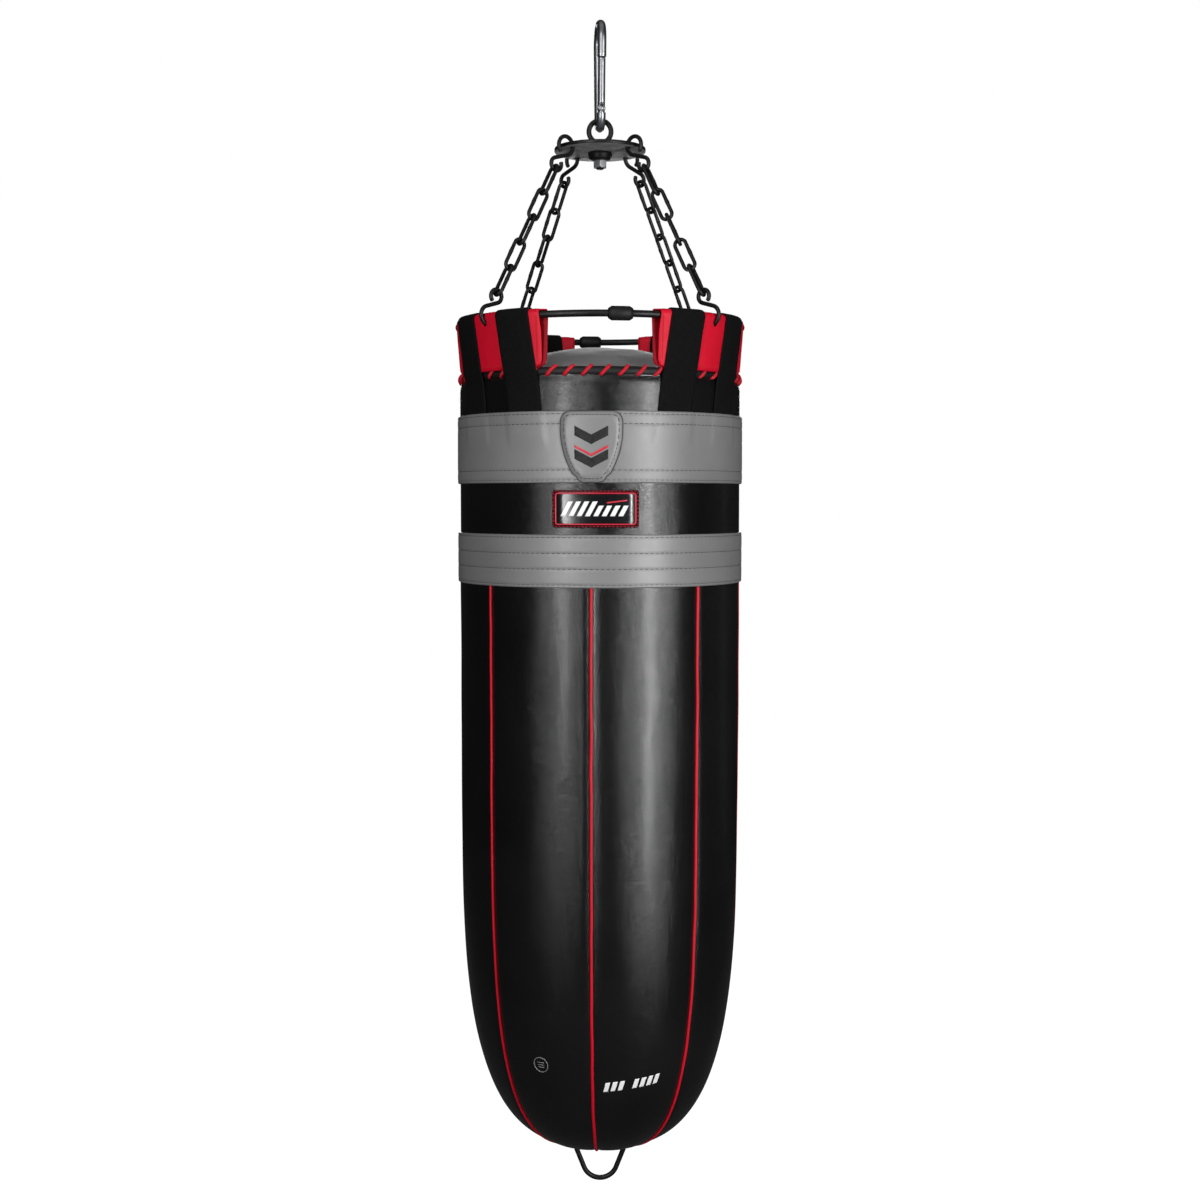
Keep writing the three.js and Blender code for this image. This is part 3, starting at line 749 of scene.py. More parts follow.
def build_shield():
    surface = upright_surface(-3.2, (UPPER_BAND[0] + UPPER_BAND[1]) / 2, BAND_RADIUS + 0.5)
    outline = subdivided(shield_outline())
    patch = Piece()
    flat_mark(patch, outline, surface, 1.5)
    patch.build("shield_patch", GREY_LEATHER)
    edge = Piece()
    edge.tube(on_surface(surface, outline, 0.7), 0.7, sides=8, closed=True)
    edge.build("shield_edge", GREY_THREAD)
    stitches = Piece()
    inner = subdivided(offset_outline(outline, 4.4), 1.2)
    stitch_loop(stitches, on_surface(surface, inner, 1.6), 3, 2)
    stitches.build("shield_stitches", GREY_THREAD)
    width, drop = 21, 11
    for name, middle, thick, material in (
        ("upper", 14, 12, BLACK_PRINT),
        ("middle", -1, 3.4, RED_PRINT),
        ("lower", -15, 12, BLACK_PRINT),
    ):
        mark = Piece()
        arm = [(0, middle - drop), (width, middle), (width, middle + thick), (0, middle - drop + thick)]
        mirrored = [(-s, z) for s, z in reversed(arm)]
        for half in (mirrored, arm):
            flat_mark(mark, subdivided(half), surface, 0.35, base=1.45)
        mark.build(f"shield_mark_{name}", material)


def stitch_loop(piece, path, on, off):
    """Short stitches along a closed path of evenly spaced points."""
    for first in range(0, len(path) - on, on + off):
        run = path[first : first + on + 1]
        piece.tube(run, 0.45, sides=6)


def rounded_box(half_width, half_height, corner):
    """Counter-clockwise outline of a rectangle with round corners."""
    points = []
    for s, z, start in ((1, 1, 0), (-1, 1, 90), (-1, -1, 180), (1, -1, 270)):
        circle = (s * (half_width - corner), z * (half_height - corner), corner)
        points.extend(arc(circle, start, start + 90, 18))
    return subdivided(points, 1.2)


def slanted_bar(left, right, bottom, top, lean):
    return subdivided([(left, bottom), (right, bottom), (right + lean, top), (left + lean, top)])


def build_label():
    """The glossy label: slanted bars and a streak in a red border."""
    surface = upright_surface(-1.7, -637.3, BAG_RADIUS + 0.2)
    half_width, half_height = 54.8, 23.5
    patch = Piece()
    flat_mark(patch, rounded_box(half_width, half_height, 4), surface, 1.6)
    patch.build("label_patch", LABEL_GLOSS)
    border = Piece()
    path = rounded_box(half_width - 4.2, half_height - 4.2, 3)
    border.tube(on_surface(surface, path, 1.6), 0.95, 8, closed=True)
    border.build("label_border", RED_PRINT)
    stitches = Piece()
    path = rounded_box(half_width - 1.4, half_height - 1.4, 3.4)
    stitch_loop(stitches, on_surface(surface, path, 1.7), 2, 2)
    stitches.build("label_stitches", RED_THREAD)
    bars = Piece()
    width, pitch, count = 6.2, 10.4, 8
    bottom, lean_at_full, full = -9.2, 10.0, 18.4
    for k in range(count):
        height = full if k < 4 else 13.2
        left = (k - (count - 1) / 2) * pitch - width / 2 - lean_at_full / 2
        outline = slanted_bar(left, left + width, bottom, bottom + height, lean_at_full * height / full)
        flat_mark(bars, outline, surface, 0.3, base=1.55)
    bars.build("label_bars", WHITE_PRINT)
    streak = Piece()
    outline = subdivided([(14, 6.6), (40, 9.6), (40, 11.4), (14, 8.4)])
    flat_mark(streak, outline, surface, 0.4, base=1.55)
    streak.build("label_streak", RED_PRINT)


def build_low_marks():
    """Two small generic marks low on the front: a ring on the left, slanted bars on the right."""
    ring = Piece()
    surface = skin_surface(-26.5, -1355)
    circle = [(10 * math.cos(t), 10 * math.sin(t)) for t in circle_angles(40)]
    ring.tube(on_surface(surface, circle, 0.3), 0.5, sides=6, closed=True)
    for z in (-3.2, 0, 3.2):
        ring.tube(on_surface(surface, [(s, z) for s in (-4.5, -1.5, 1.5, 4.5)], 0.3), 0.5, sides=6)
    ring.build("low_ring_mark", GREY_PRINT)
    bars = Piece()
    surface = skin_surface(14.5, -1378, rise=0.1)
    pitch, half_width, half_height, lean = 9.4, 3, 6.5, 3.2
    for k in (0, 1, 2, 4, 5, 6, 7):
        middle = (k - 3.5) * pitch - lean / 2
        outline = slanted_bar(middle - half_width, middle + half_width, -half_height, half_height, lean)
        flat_mark(bars, outline, surface, 0.3, base=0.15)
    bars.build("low_bars_mark", WHITE_PRINT)


# ---- Rim, lacing and cover ----


def lace_pinch(azimuth):
    """1 where a lace crosses the roll's top, falling to 0 between laces."""
    share = (azimuth - 2.2) / (360 / LACES) % 1
    return math.exp(-((min(share, 1 - share) / 0.16) ** 2))


def build_rim():
    """The rolled rim, pinched where the laces cross it."""
    roll = Piece()
    rows = []
    for angle in circle_angles(16):
        row = []
        for a in around(300):
            lump = 1 + 0.06 * noise.noise(Vector((a / 9, 2, 0))) - 0.07 * lace_pinch(a)
            out, up = ROLL_SIZE * lump * math.cos(angle), ROLL_SIZE * lump * math.sin(angle)
            row.append(radial(a, ROLL_RADIUS + out, ROLL_Z + up))
        rows.append(row)
    roll.grid(rows, wrap=True, loop=True)
    roll.build("rim_roll", RIM_LEATHER, "rim_welt")


def build_lacing():
    """The red cord whipped round the rim: slanted strokes that sink in at both ends."""
    lacing = Piece()
    for k in range(LACES):
        start = k * 360 / LACES + 0.5 * noise.noise(Vector((k * 3.1, 0, 0)))
        path = []
        for i in range(19):
            angle = math.radians(-62 + 182 * i / 18)
            climb = (math.sin(min(angle, math.pi / 2)) + 0.88) / 1.88
            sink = 2.6 * (smooth_step(1 - i / 3) + smooth_step(i / 4 - 3.5))
            reach = ROLL_SIZE + 0.4 - sink
            azimuth = beside(start, 12 * climb, ROLL_RADIUS)
            out, up = reach * math.cos(angle), reach * math.sin(angle)
            path.append(radial(azimuth, ROLL_RADIUS + out, ROLL_Z + up))
        lacing.tube(path, 2.3, sides=10)
    lacing.build("rim_lacing", RED_THREAD)


def build_cover():
    """The domed grey cover inside the rim."""
    cover = Piece()
    edge, edge_z, rise, rings, sides = 178.5, RIM_Z + 3.5, 45, 41, 160
    rows = []
    for i in range(rings):
        r = edge * (1 - i / rings)
        dome = edge_z + rise * (1 - (r / edge) ** 2)
        calm = smooth_step((edge - r) / 40)
        rows.append([
            radial(a, r, dome + 1.3 * noise.noise(radial(a, r / 38, 4)) * calm) for a in around(sides)
        ])
    start = cover.grid(rows, wrap=True)
    cover.cap(start + (rings - 1) * sides, sides, Vector((0, 0, edge_z + rise)))
    under = [Vector((p.x, p.y, p.z - 3)) for p in rows[0]]
    cover.grid([under, rows[0]], wrap=True)
    cover.build("cover_leather", COVER_LEATHER, "top_cover")


# ---- Ring, tabs and straps ----


def build_ring():
    for name, start, end in (
        ("ring_half_right", RING_JOINTS["front"], RING_JOINTS["back"]),
        ("ring_half_left", RING_JOINTS["back"], RING_JOINTS["front"] + 360),
    ):
        half = Piece()
        count = 90
        turns = [start + (end - start) * i / count for i in range(count + 1)]
        half.tube([radial(a, RING_RADIUS, RING_Z) for a in turns], RING_WIRE)
        half.build(f"{name}_bar", BLACK_STEEL, name)
    for side, azimuth in RING_JOINTS.items():
        centre = radial(azimuth, RING_RADIUS - 0.3, RING_Z)
        along, out = sideways(azimuth), radial(azimuth, 1, 0)
        half, size = SLEEVE_LENGTH / 2, SLEEVE_RADIUS
        end = [
            (5.3, half), (size - 3.0, half), (size - 2.2, half - 0.7), (size - 0.6, half - 3.4),
            (size, half - 4.4),
        ]
        profile = [(r, -z) for r, z in end] + end[::-1]
        sleeve = Piece()

        def placed(p, centre=centre, along=along, out=out):
            return centre + out * p.x + Vector((0, 0, p.y)) + along * p.z

        sleeve.turned(profile, sides=32, placed=placed)
        name = f"ring_sleeve_{side}"
        sleeve.build(f"{name}_moulding", SLEEVE_PLASTIC, name)


def fold_line(offset, bottom_half, bottom_z, inner_z):
    """(radius, z) of a sheet folded over the ring: outer leg, bend, inner leg."""
    over = arc((RING_RADIUS, RING_Z, offset), -6, 186, 10)
    outer_end = Vector((RING_RADIUS + bottom_half, bottom_z))
    inner_share = (RING_Z - inner_z) / (RING_Z - bottom_z)
    inner_end = Vector((RING_RADIUS - offset + (offset - bottom_half) * inner_share, inner_z))
    outer = line(outer_end, Vector(over[0]), 13)[:-1]
    inner = line(Vector(over[-1]), inner_end, 13)[1:]
    return [*outer, *[Vector(p) for p in over], *inner]


def normals(points):
    """Outward normals of a (radius, z) line that runs up outside, over and down inside."""
    result = []
    for i in range(len(points)):
        before = points[max(i - 1, 0)]
        after = points[min(i + 1, len(points) - 1)]
        direction = (after - before).normalized()
        result.append(Vector((direction.y, -direction.x)))
    return result


def folded_sheet(points, count, across):
    """A closed sheet along a (radius, z) line. across says, for a point of the line and a place from
    -1 to 1 across the sheet, its azimuth and how far its two faces stand from the line."""
    top, under = [], []
    for point, normal in zip(points, normals(points)):
        places = [across(point, -1 + 2 * j / count) for j in range(count + 1)]
        for rows, face in ((top, 1), (under, 2)):
            at = [(place[0], point + normal * place[face]) for place in places]
            rows.append([radial(azimuth, p.x, p.y) for azimuth, p in at])
    piece = Piece()
    piece.slab(top, under)
    return piece


def folded_tab(azimuth):
    """The tab's leather, with round lower corners and an inner flap that is a little wider."""

    def across(point, share):
        low = TAB_CORNER - (point.y - TAB_BOTTOM_Z)
        pull = TAB_CORNER - math.sqrt(max(TAB_CORNER**2 - max(low, 0) ** 2, 0))
        inner_flap = smooth_step((RING_RADIUS + 2 - point.x) / 4)
        draw_in = 2.5 * (1 - inner_flap) * smooth_step((point.y - RING_Z + 25) / 30)
        half = TAB_HALF_WIDTH - pull + 5 * inner_flap - draw_in
        s = half * share
        from_edge = half - abs(s)
        edge = TAB_LEATHER / 2 * (1 - 0.55 * math.exp(-((from_edge / 1.2) ** 2)))
        sewn = -0.5 * math.exp(-(((from_edge - 5) / 1.6) ** 2))
        ripple = 0.3 * noise.noise(Vector((s / 22, point.y / 25, azimuth)))
        return beside(azimuth, s, RING_RADIUS), edge + sewn + ripple, -edge

    middle = TAB_OUTER - TAB_LEATHER / 2
    return folded_sheet(fold_line(middle, TAB_LEATHER / 2 + 0.1, TAB_BOTTOM_Z, TAB_BOTTOM_Z), 40, across)


def hook_hole(azimuth):
    """A cutter for the hole that the lower S hook passes through."""
    cutter = Piece()
    z = LOW_S["lower"][1] - LOW_S["lower"][2] + 1.4
    path = [radial(azimuth, r, z) for r in (RING_RADIUS - 14, RING_RADIUS, RING_RADIUS + 14)]
    cutter.tube(path, HOLE_RADIUS, sides=20)
    return cutter.build("hook_hole", RED_LEATHER)


def build_tabs():
    for name, azimuth in LEGS.items():
        piece = folded_tab(azimuth).build(f"tab_{name}_leather", RED_LEATHER, f"tab_{name}")
        # The second material is painted shade: the faces that look into the fold are darker red
        piece.data.materials.append(RED_FOLD_SHADE)
        paint_fold_shade(piece)
        cut_away(piece, [hook_hole(azimuth)])
        stitches = Piece()
        points = fold_line(TAB_OUTER + 0.1, TAB_LEATHER + 0.1, TAB_BOTTOM_Z, TAB_BOTTOM_Z)
        for sign in (-1, 1):
            angle = beside(azimuth, sign * (TAB_HALF_WIDTH - 5), RING_RADIUS)
            leg = [p for p in points[:13] if p.y > TAB_BOTTOM_Z + 9]
            dense = resampled([radial(angle, p.x, p.y) for p in leg], 1.3)
            stitch_loop(stitches, dense, 2, 1)
        bottom = [
            radial(beside(azimuth, s, RING_RADIUS), RING_RADIUS + TAB_LEATHER + 0.4, TAB_BOTTOM_Z + 5)
            for s in (-TAB_HALF_WIDTH + 12 + 1.3 * k for k in range(124))
        ]
        stitch_loop(stitches, bottom, 2, 1)
        stitches.build(f"tab_{name}_stitches", RED_THREAD)


def paint_fold_shade(piece):
    """The faces that look into the fold get a darker red: painted shade inside the fold."""
    for polygon in piece.data.polygons:
        centre = polygon.center / METRES
        away = Vector((centre.x, centre.y, 0)).normalized()
        from_ring = Vector((math.hypot(centre.x, centre.y) - RING_RADIUS, centre.z - RING_Z))
        outward = away * from_ring.x + Vector((0, 0, from_ring.y if centre.z > RING_Z else 0))
        if polygon.normal.dot(outward) < 0:
            polygon.material_index = 1


def resampled(path, step):
    """Points at an even spacing along a path."""
    result = [path[0]]
    left = step
    for start, end in zip(path, path[1:]):
        length = (end - start).length
        while left <= length:
            result.append(start.lerp(end, left / length))
            left += step
        left -= length
    return result


def straps():
    """Each strap's name, azimuth at the ring and lean in degrees."""
    for name, azimuth in LEGS.items():
        lean = STRAP_SLANT if math.sin(math.radians(2 * azimuth)) < 0 else -STRAP_SLANT
        yield f"strap_{name}_a", azimuth - STRAP_SPACING, lean
        yield f"strap_{name}_b", azimuth + STRAP_SPACING, lean


def strap_middle(azimuth, lean, z):
    """The azimuth of a leaning strap's centre line at a height."""
    return azimuth + math.degrees((RING_Z - z) * math.tan(math.radians(lean)) / BAND_RADIUS)


def strap_line():
    offset = TAB_OUTER + GAP + STRAP_THICKNESS / 2
    sewn = TAB_LEATHER + GAP + STRAP_THICKNESS / 2
    on_shell = BAG_RADIUS + GAP + STRAP_THICKNESS / 2
    over = arc((RING_RADIUS, RING_Z, offset), 0, 180, 9)
    lower = [
        Vector((on_shell, STRAP_OUTER_END_Z)),
        Vector((on_shell, TAB_BOTTOM_Z - 30)),
        Vector((on_shell + 0.5, TAB_BOTTOM_Z - 14)),
        Vector((RING_RADIUS + sewn, TAB_BOTTOM_Z)),
    ]
    inner_end = Vector((RING_RADIUS - sewn - 1, STRAP_INNER_END_Z))
    route = [*lower, *[Vector(p) for p in over], inner_end]
    return resampled(route, 3.0)


def build_straps():
    points = strap_line()
    for name, azimuth, lean in straps():

        def across(point, share, azimuth=azimuth, lean=lean):
            s = STRAP_WIDTH / 2 * share
            edge = STRAP_THICKNESS / 2 * (1 - 0.5 * smooth_step((abs(share) - 0.93) / 0.07))
            wave = 0.35 * noise.noise(Vector((s / 16, point.y / 18, azimuth)))
            return beside(strap_middle(azimuth, lean, point.y), s, BAND_RADIUS), edge + wave, -edge

        folded_sheet(points, 24, across).build(f"{name}_webbing", WEBBING, name)


# ---- Chain legs ----


def s_hook_path(hook, start, end):
    (ux, uz, ur), (lx, lz, lr) = hook["upper"], hook["lower"]
    heading = math.degrees(math.atan2(lz - uz, lx - ux))
    heading += math.degrees(math.asin((ur + lr) / math.hypot(lx - ux, lz - uz)))
    return [*arc(hook["upper"], start, heading + 270), *arc(hook["lower"], heading + 90, end)]


def leg_line():
    (x1, z1, r1), (x2, z2, r2) = TOP_S["lower"], LOW_S["upper"]
    direction = Vector((x2 - x1, z2 - z1)).normalized()
    start = Vector((x1, z1)) + direction * r1
    end = Vector((x2, z2)) - direction * r2
    return start, direction, (end - start).length


def link_path(length):
    straight = length / 2 - LINK_ARC
    top = arc((0, straight, LINK_ARC), 0, 180, 12)
    bottom = arc((0, -straight, LINK_ARC), 180, 360, 12)
    sides = [[(x, -straight + 2 * straight * k / 8) for k in range(1, 8)] for x in (LINK_ARC, -LINK_ARC)]
    return [*sides[0], *top, *reversed(sides[1]), *bottom]


def build_legs():
    start, direction, length = leg_line()
    hook_offset = S_WIRE + LINK_WIRE + HOOK_PLAY
    overlap = 2 * LINK_WIRE + LINK_PLAY
    total = length + hook_offset + S_WIRE + LINK_WIRE + OPEN_END_GAP + (LINKS - 1) * overlap
    link_length = total / LINKS
    outline = link_path(link_length)
    weld = 3 / len(outline)

    def with_weld(share):
        return LINK_WIRE * (1 + 0.16 * math.exp(-(((share - weld) / 0.02) ** 2)))

    for name, azimuth in LEGS.items():
        away, aside = radial(azimuth, 1, 0), sideways(azimuth)
        along = away * direction.x + Vector((0, 0, direction.y))
        square = away * -direction.y + Vector((0, 0, direction.x))
        for hook, shape, body in (("top", TOP_S, "spreader"), ("lower", LOW_S, "bag")):
            piece = Piece()
            piece.tube(in_plane(s_hook_path(shape, -40, -200), azimuth), S_WIRE, sides=16)
            piece.build(f"{hook}_hook_{name}_wire", BLACK_STEEL, f"{hook}_hook_{name}", body=body)
        for i in range(LINKS):
            centre = start + direction * (-hook_offset + link_length / 2 + i * (link_length - overlap))
            middle = away * centre.x + Vector((0, 0, centre.y))
            twist = LINK_TWIST[name] * (0.5 if i in (0, LINKS - 1) else 1)
            turn = math.radians(twist + (90 if i % 2 == 0 else 0))
            wide = square * math.cos(turn) + aside * math.sin(turn)
            path = [middle + wide * x + along * z for x, z in outline]
            piece = Piece()
            piece.tube(path, with_weld, closed=True)
            name_of_link = f"chain_{name}_link_{i + 1}"
            piece.build(f"{name_of_link}_wire", BLACK_STEEL, name_of_link, body=f"leg_{name}")


# ---- Plate, eye bolt and snap hook ----


def disc_profile(inner, outer, bottom, top, soft):
    """A ring's cross-section with softened corners."""
    low = arc((outer - soft, bottom + soft, soft), -90, 0, 30)
    high = arc((outer - soft, top - soft, soft), 0, 90, 30)
    return [(inner, bottom), *low, *high, (inner, top)]


def build_plate():
    plate = Piece()
    plate.turned(disc_profile(BOLT_HOLE_RADIUS, PLATE_RADIUS, PLATE_BOTTOM_Z, PLATE_TOP_Z, 1.2), sides=128)
    piece = plate.build("spreader_plate_steel", PLATE_GREY_PAINTED_LIGHT, "spreader_plate", body="spreader")
    cutters = []
    for azimuth in LEGS.values():
        cutter = Piece()
        path = [radial(azimuth, PLATE_HOLE_AT, z) for z in (PLATE_BOTTOM_Z - 5, PLATE_TOP_Z + 5)]
        cutter.tube(path, HOLE_RADIUS, sides=28)
        cutters.append(cutter.build("plate_hole", PLATE_GREY_PAINTED_LIGHT, body="spreader"))
    cut_away(piece, cutters)
    sharp_edges(piece)
    # The flat faces keep the light grey, which is painted light on the underside; the rim faces get the
    # black coat
    piece.data.materials.append(BLACK_STEEL)
    for polygon in piece.data.polygons:
        if abs(polygon.normal.z) < 0.8:
            polygon.material_index = 1


def build_eye_bolt():
    bolt = Piece()
    ring = [
        Vector((EYE_RADIUS * math.cos(t), 0, EYE_Z + EYE_RADIUS * math.sin(t))) for t in circle_angles(72)
    ]
    bolt.tube(ring, EYE_WIRE, sides=20, closed=True)
    shank_end, neck = node_box("eye_bolt")[0].z, EYE_Z - EYE_RADIUS
    profile = [(0.3, shank_end), (4, shank_end), (5, shank_end + 1)]
    pitch = 1.5
    z = shank_end + 1
    while z < -172:
        profile += [(5.0, z), (4.55, z + pitch / 2)]
        z += pitch
    collar = [(5.2, -156), (8.2, -155.5), (8.2, -153), (5.6, -151.5)]
    profile += [(5, z), (5, -158), *collar, (5.2, neck), (0.3, neck)]
    bolt.turned(profile, sides=36)
    bolt.build("eye_bolt_steel", BLACK_STEEL, "eye_bolt", body="eye_bolt")

    low, high = node_box("thrust_bearing")
    size = high.x
    cup = Piece()
    profile = [
        (BOLT_HOLE_RADIUS, low.z), (size - 4, low.z), (size - 2.4, low.z + 0.5), (size - 1.2, low.z + 2),
        (size - 0.8, low.z + 3.4),
        (size - 1.3, low.z + 3.8), (size - 1.3, low.z + 4.3), (size - 0.2, low.z + 4.7), (size, low.z + 5.5),
        (size, high.z - 0.8), (size - 0.8, high.z), (BOLT_HOLE_RADIUS, high.z),
    ]
    cup.turned(profile, sides=72)
    piece = cup.build("bearing_cup", BLACK_STEEL, "thrust_bearing", body="eye_bolt")
    sharp_edges(piece, 50)

    low, high = node_box("lock_nut")
    build_nut(low.z, high.z, 17)


def build_nut(bottom, top, across_flats):
    """A hexagon nut with its corners turned off at both faces."""
    nut = Piece()
    rows = []
    corner = across_flats / math.sqrt(3)
    rim = [(0, 0.0), (0, 0.86), (1.0, 0.97), (1.7, 1.02)]
    levels = [(bottom + z, limit) for z, limit in rim] + [(top - z, limit) for z, limit in reversed(rim)]
    for z, limit in levels:
        row = []
        for a in around(72):
            within = (a % 60) - 30
            flat = across_flats / 2 / math.cos(math.radians(within))
            radius = 5.15 if limit == 0.0 else min(flat, corner * limit)
            row.append(radial(a, radius, z))
        rows.append(row)
    nut.grid(rows, wrap=True, loop=True)
    piece = nut.build("lock_nut_steel", ZINC, "lock_nut", body="eye_bolt")
    sharp_edges(piece, 25)


def hook_geometry():
    """The snap hook's outline: arcs, leaning sides and the gate's hinge point."""
    (_, tz, tr), (_, bz, br) = HOOK_TOP_ARC, HOOK_BOTTOM_ARC
    lean = math.asin((tr - br) / (tz - bz))
    degrees = math.degrees(lean)
    up = Vector((math.sin(lean), math.cos(lean)))
    top = arc(HOOK_TOP_ARC, degrees, 180 - degrees, 6)
    bottom = arc(HOOK_BOTTOM_ARC, 180 - degrees, 360 + degrees, 7)
    end_x, end_z = bottom[-1]
    hinge = Vector((end_x + (GATE_HINGE_Z - end_z) * math.tan(lean), GATE_HINGE_Z))
    return lean, up, top, bottom, hinge


def gate_frame():
    """Maps gate coordinates (outwards, along the pin, up the gate) to the part's frame."""
    lean, up, _, _, hinge = hook_geometry()
    out = Vector((math.cos(lean), -math.sin(lean)))
    away, aside = radial(HOOK_AZIMUTH, 1, 0), sideways(HOOK_AZIMUTH)

    def placed(p):
        flat = hinge + out * p.x + up * p.z
        return away * flat.x + aside * p.y + Vector((0, 0, flat.y))

    return placed


def block(name, x, y, z, placed):
    """A closed box between limits, used as a cutter."""
    piece = Piece()
    bottom = [(x[0], y[0]), (x[1], y[0]), (x[1], y[1]), (x[0], y[1])]
    rows = [[placed(Vector((a, b, h))) for a, b in bottom] for h in z]
    start = piece.grid(rows, wrap=True)
    piece.cap(start, 4, placed(Vector(((x[0] + x[1]) / 2, (y[0] + y[1]) / 2, z[0]))), flip=True)
    piece.cap(start + 4, 4, placed(Vector(((x[0] + x[1]) / 2, (y[0] + y[1]) / 2, z[1]))))
    return piece.build(name, ZINC, body="snap_hook")


def soften(piece, width, segments=3):
    """Rounds the sharp edges of a metal piece."""
    modifier = piece.modifiers.new("soften", "BEVEL")
    modifier.width = width * METRES
    modifier.segments = segments
    modifier.limit_method = "ANGLE"
    modifier.angle_limit = math.radians(40)
    modifier.harden_normals = False
    apply_modifiers(piece)


def build_snap_hook():
    _, up, top, bottom, hinge = hook_geometry()
    nose = hinge + up * (GATE_LENGTH + 1.5)
    placed = gate_frame()
    top_start = Vector(top[0])
    nose_run = line(nose, top_start, 5)[:-1]
    spine = line(Vector(top[-1]), Vector(bottom[0]), 14)[1:-1]
    flat = [*nose_run, *top, *spine, *bottom]
    points = [Vector(p) for p in flat]
    body = Piece()
    body.tube([radial(HOOK_AZIMUTH, p.x, p.y) for p in points], HOOK_WIRE, sides=28)
    piece = body.build("snap_hook_wire", ZINC, "snap_hook_body", body="snap_hook")
    shoulder = GATE_RADIUS + 0.5
    cut_away(piece, [
        block("hinge_space_a", (-9, 9), (2, 9), (-shoulder, 30), placed),
        block("hinge_space_b", (-9, 9), (-9, -2), (-shoulder, 30), placed),
        block("nose_slot", (-9, 2), (-1.9, 1.9), (GATE_LENGTH - 1, GATE_LENGTH + 10), placed),
    ])
    soften(piece, 0.5)
    sharp_edges(piece, 50)
    lug = Piece()
    round_bar(lug, placed, GATE_RADIUS, -2, 2)
    lug.build("snap_hook_lug", ZINC, body="snap_hook")

    gate = Piece()
    stations = [Vector((0, 0, z)) for z in (-1, 4, 12, 24, 36, 48, 58, GATE_LENGTH - 0.6)]
    gate.tube([placed(p) for p in stations], GATE_RADIUS, sides=28, dome=0.12)
    piece = gate.build("snap_hook_gate_bar", ZINC, "snap_hook_gate", body="hook_gate")
    cut_away(piece, [block("gate_fork", (-9, 9), (-2.3, 2.3), (-9, 7), placed)])
    soften(piece, 0.4)
    sharp_edges(piece, 50)
    ends = Piece()
    round_bar(ends, placed, GATE_RADIUS, 2.35, 4.5)
    round_bar(ends, placed, GATE_RADIUS, -4.5, -2.35)
    ends.build("snap_hook_gate_cheeks", ZINC, body="hook_gate")
    tongue_reach = (GATE_LENGTH - 1, GATE_LENGTH + 8.5)
    tongue = block("snap_hook_gate_tongue", (-4, 1.6), (-1.5, 1.5), tongue_reach, placed)
    soften(tongue, 0.5)
    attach(tongue, "hook_gate")
    pin = Piece()
    round_bar(pin, placed, 2.6, -5.3, 5.3)
    pin.build("gate_rivet", ZINC, "gate_pin", body="snap_hook")


def round_bar(piece, placed, radius, start, end):
    """A short bar along the gate's pin, with softened rims."""
    sides = 36
    soft = min(0.5, (end - start) / 3)
    levels = [(start, radius - soft), (start + soft, radius), (end - soft, radius), (end, radius - soft)]
    rows = [
        [placed(Vector((r * math.cos(t), y, r * math.sin(t)))) for t in circle_angles(sides)]
        for y, r in levels
    ]
    first = piece.grid(rows, wrap=True)
    piece.cap(first, sides, placed(Vector((0, start - 0.05, 0))), flip=True)
    piece.cap(first + 3 * sides, sides, placed(Vector((0, end + 0.05, 0))))


# ---- D-ring and keeper ----


def build_d_ring():
    corner, half_width, bottom_z, bottom_arc = 6, 32.5, -1570, 24
    corner_x = half_width - corner
    bar = [(x, D_BAR_Z) for x in (18, 12, 6, 0, -6, -12, -18)]
    left = arc((-corner_x, D_BAR_Z - corner, corner), 90, 195, 10)
    low = arc((0, bottom_z + bottom_arc, bottom_arc), 205, 335, 7)
    right = arc((corner_x, D_BAR_Z - corner, corner), -15, 90, 10)
    left_side = [tuple(v) for v in line(Vector(left[-1]), Vector(low[0]), 6)[1:-1]]
    right_side = [tuple(v) for v in line(Vector(low[-1]), Vector(right[0]), 6)[1:-1]]
    outline = [*bar, *left, *left_side, *low, *right_side, *right]
    ring = Piece()
    ring.tube([Vector((x, 0, z)) for x, z in outline], D_WIRE, sides=20, closed=True)
    ring.build("d_ring_wire", BLACK_STEEL, "d_ring", body="d_ring")

    keeper = Piece()
    webbing, half = 2, 22
    loop = arc((0, D_BAR_Z, D_WIRE + 0.4 + webbing / 2), 122, 418, 12)
    top = POLE_Z - 1.6
    right_leg = [(2.4, top - 3), (5, top - 1.2), (19, top - 0.8)]
    left_leg = [(-19, top - 0.8), (-5, top - 1.2), (-2.4, top - 3)]
    route = [Vector(p) for p in [*left_leg, *loop, *right_leg]]
    dense = resampled(route, 1.2)
    outward = normals(dense)
    sheets = ([], [])
    for point, normal in zip(dense, outward):
        for rows, sign in zip(sheets, (1, -1)):
            place = point + normal * sign * webbing / 2
            rows.append([Vector((-half + 2 * half * j / 16, place.x, place.y)) for j in range(17)])
    keeper.slab(*sheets)
    keeper.build("d_ring_keeper_webbing", WEBBING, "d_ring_keeper")


# ---- Stage, lights and camera ----


def add_light(name, azimuth, distance, z, width, height, power, target_z=-0.85):
    light = bpy.data.lights.new(name, "AREA")
    light.shape = "RECTANGLE"
    light.size = width
    light.size_y = height
    light.energy = power
    lamp = bpy.data.objects.new(name, light)
    bpy.context.scene.collection.objects.link(lamp)
    lamp.location = radial(azimuth, distance, z)
    aim = Vector((0, 0, target_z)) - lamp.location
    lamp.rotation_mode = "QUATERNION"
    lamp.rotation_quaternion = aim.to_track_quat("-Z", "Y")


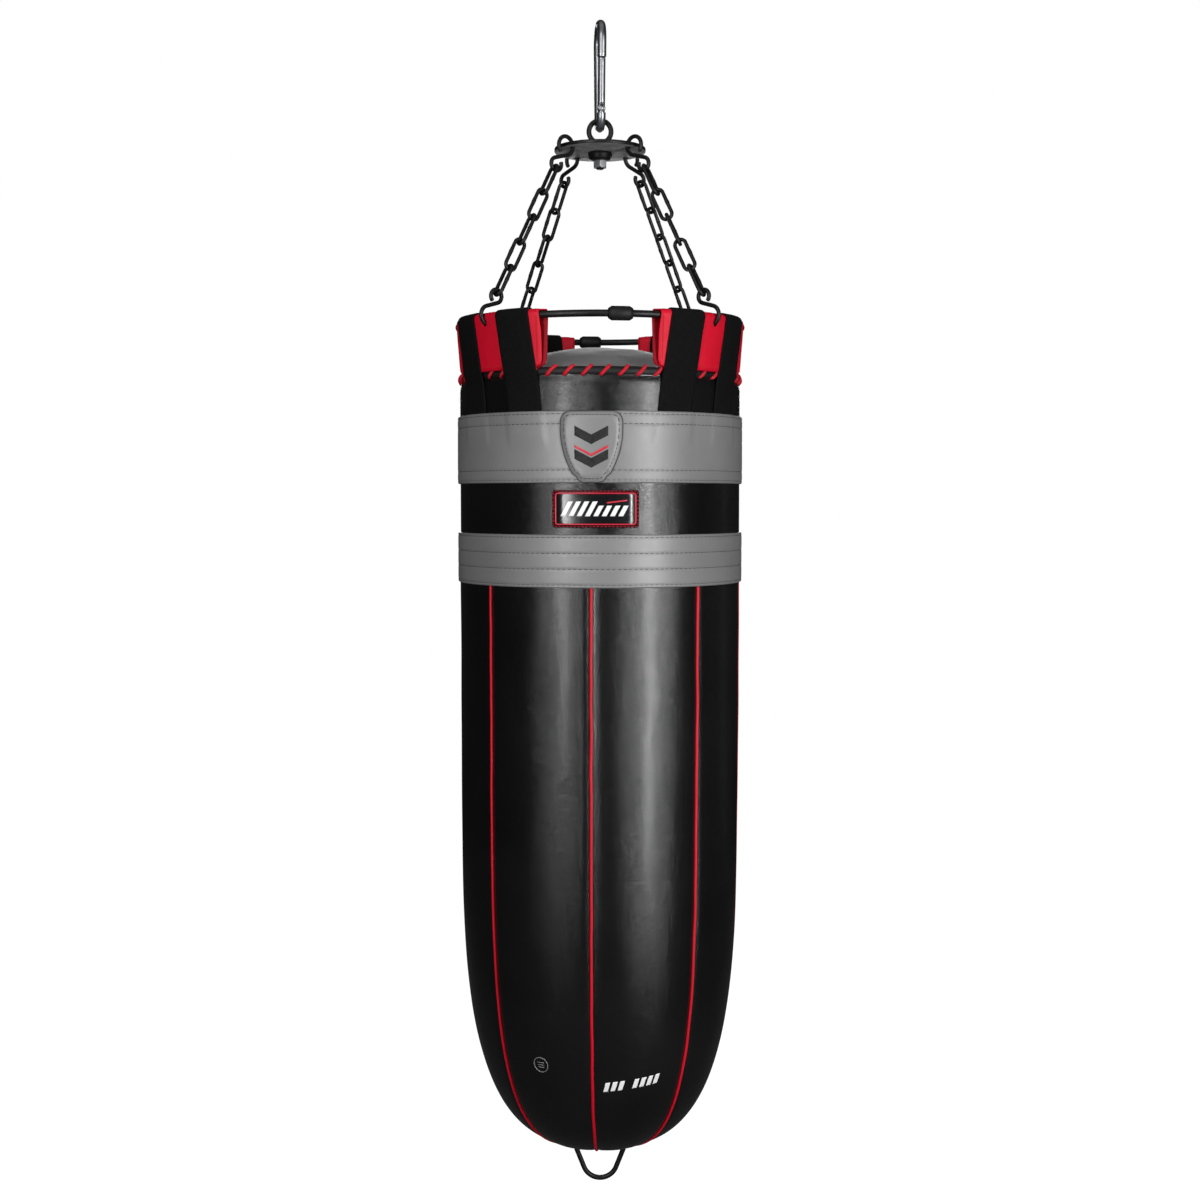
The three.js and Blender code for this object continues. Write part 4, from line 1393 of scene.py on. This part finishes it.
def build_lights():
    """Two tall strips whose reflections are the long streaks on the leather, and soft fills round them."""
    add_light("strip_left", -27, 2.6, -0.55, 0.17, 1.5, 31)
    add_light("strip_right", 38.5, 2.6, -0.72, 0.2, 1.9, 60)
    add_light("side_right", 118, 2.4, -0.8, 0.2, 1.6, 0.3)
    add_light("overhead", 0, 0.6, 2.6, 3.0, 3.0, 10, target_z=-1.0)
    add_light("front_fill", -22, 4.2, 1.9, 2.6, 1.4, 62)
    add_light("back_fill", 180, 3.4, 0.3, 1.6, 1.6, 70)
    # The world is white where the camera sees it, and only a faint fill for everything else
    world = bpy.data.worlds.new("studio")
    world.use_nodes = True
    nodes, links = world.node_tree.nodes, world.node_tree.links
    background = nodes["Background"]
    background.inputs["Color"].default_value = (1, 1, 1, 1)
    path = nodes.new("ShaderNodeLightPath")
    level = nodes.new("ShaderNodeMapRange")
    level.inputs["To Min"].default_value = 0.014
    level.inputs["To Max"].default_value = 1.0
    links.new(path.outputs["Is Camera Ray"], level.inputs["Value"])
    links.new(level.outputs["Result"], background.inputs["Strength"])
    bpy.context.scene.world = world


def build_floor():
    """The floor half a metre below the bag. It is white where it is seen, like the world behind it,
    and reflects little, so that it lights the bag's underside only faintly."""
    half, z = 6.0, -2.1
    corners = [(-half, -half, z), (half, -half, z), (half, half, z), (-half, half, z)]
    mesh = bpy.data.meshes.new("floor")
    mesh.from_pydata(corners, [], [(0, 1, 2, 3)])
    floor = bpy.data.objects.new("floor", mesh)
    bpy.context.scene.collection.objects.link(floor)
    finish = Finish("pale_floor", (0.05, 0.05, 0.05), 0.9)
    finish.shader.inputs["Emission Color"].default_value = (1, 1, 1, 1)
    seen = finish.node("ShaderNodeLightPath", "Is Camera Ray")
    finish.links.new(seen, finish.shader.inputs["Emission Strength"])
    mesh.materials.append(finish.material)


def build_camera():
    camera = bpy.data.cameras.new("camera")
    camera.lens = 48.54
    camera.sensor_width = 36
    camera.clip_start = 0.05
    holder = bpy.data.objects.new("camera", camera)
    bpy.context.scene.collection.objects.link(holder)
    holder.location = (0, -2.20306, -0.6242)
    holder.rotation_euler = (math.radians(90 - 3.597), 0, 0)
    bpy.context.scene.camera = holder
    bpy.context.scene.view_settings.view_transform = "Standard"


build_camera()
build_lights()
build_floor()
build_lower_skin()
build_piping()
build_bottom_patch()
build_upper_skin()
build_bands()
build_shield()
build_label()
build_low_marks()
build_rim()
build_lacing()
build_cover()
build_ring()
build_tabs()
build_straps()
build_legs()
build_plate()
build_eye_bolt()
build_snap_hook()
build_d_ring()
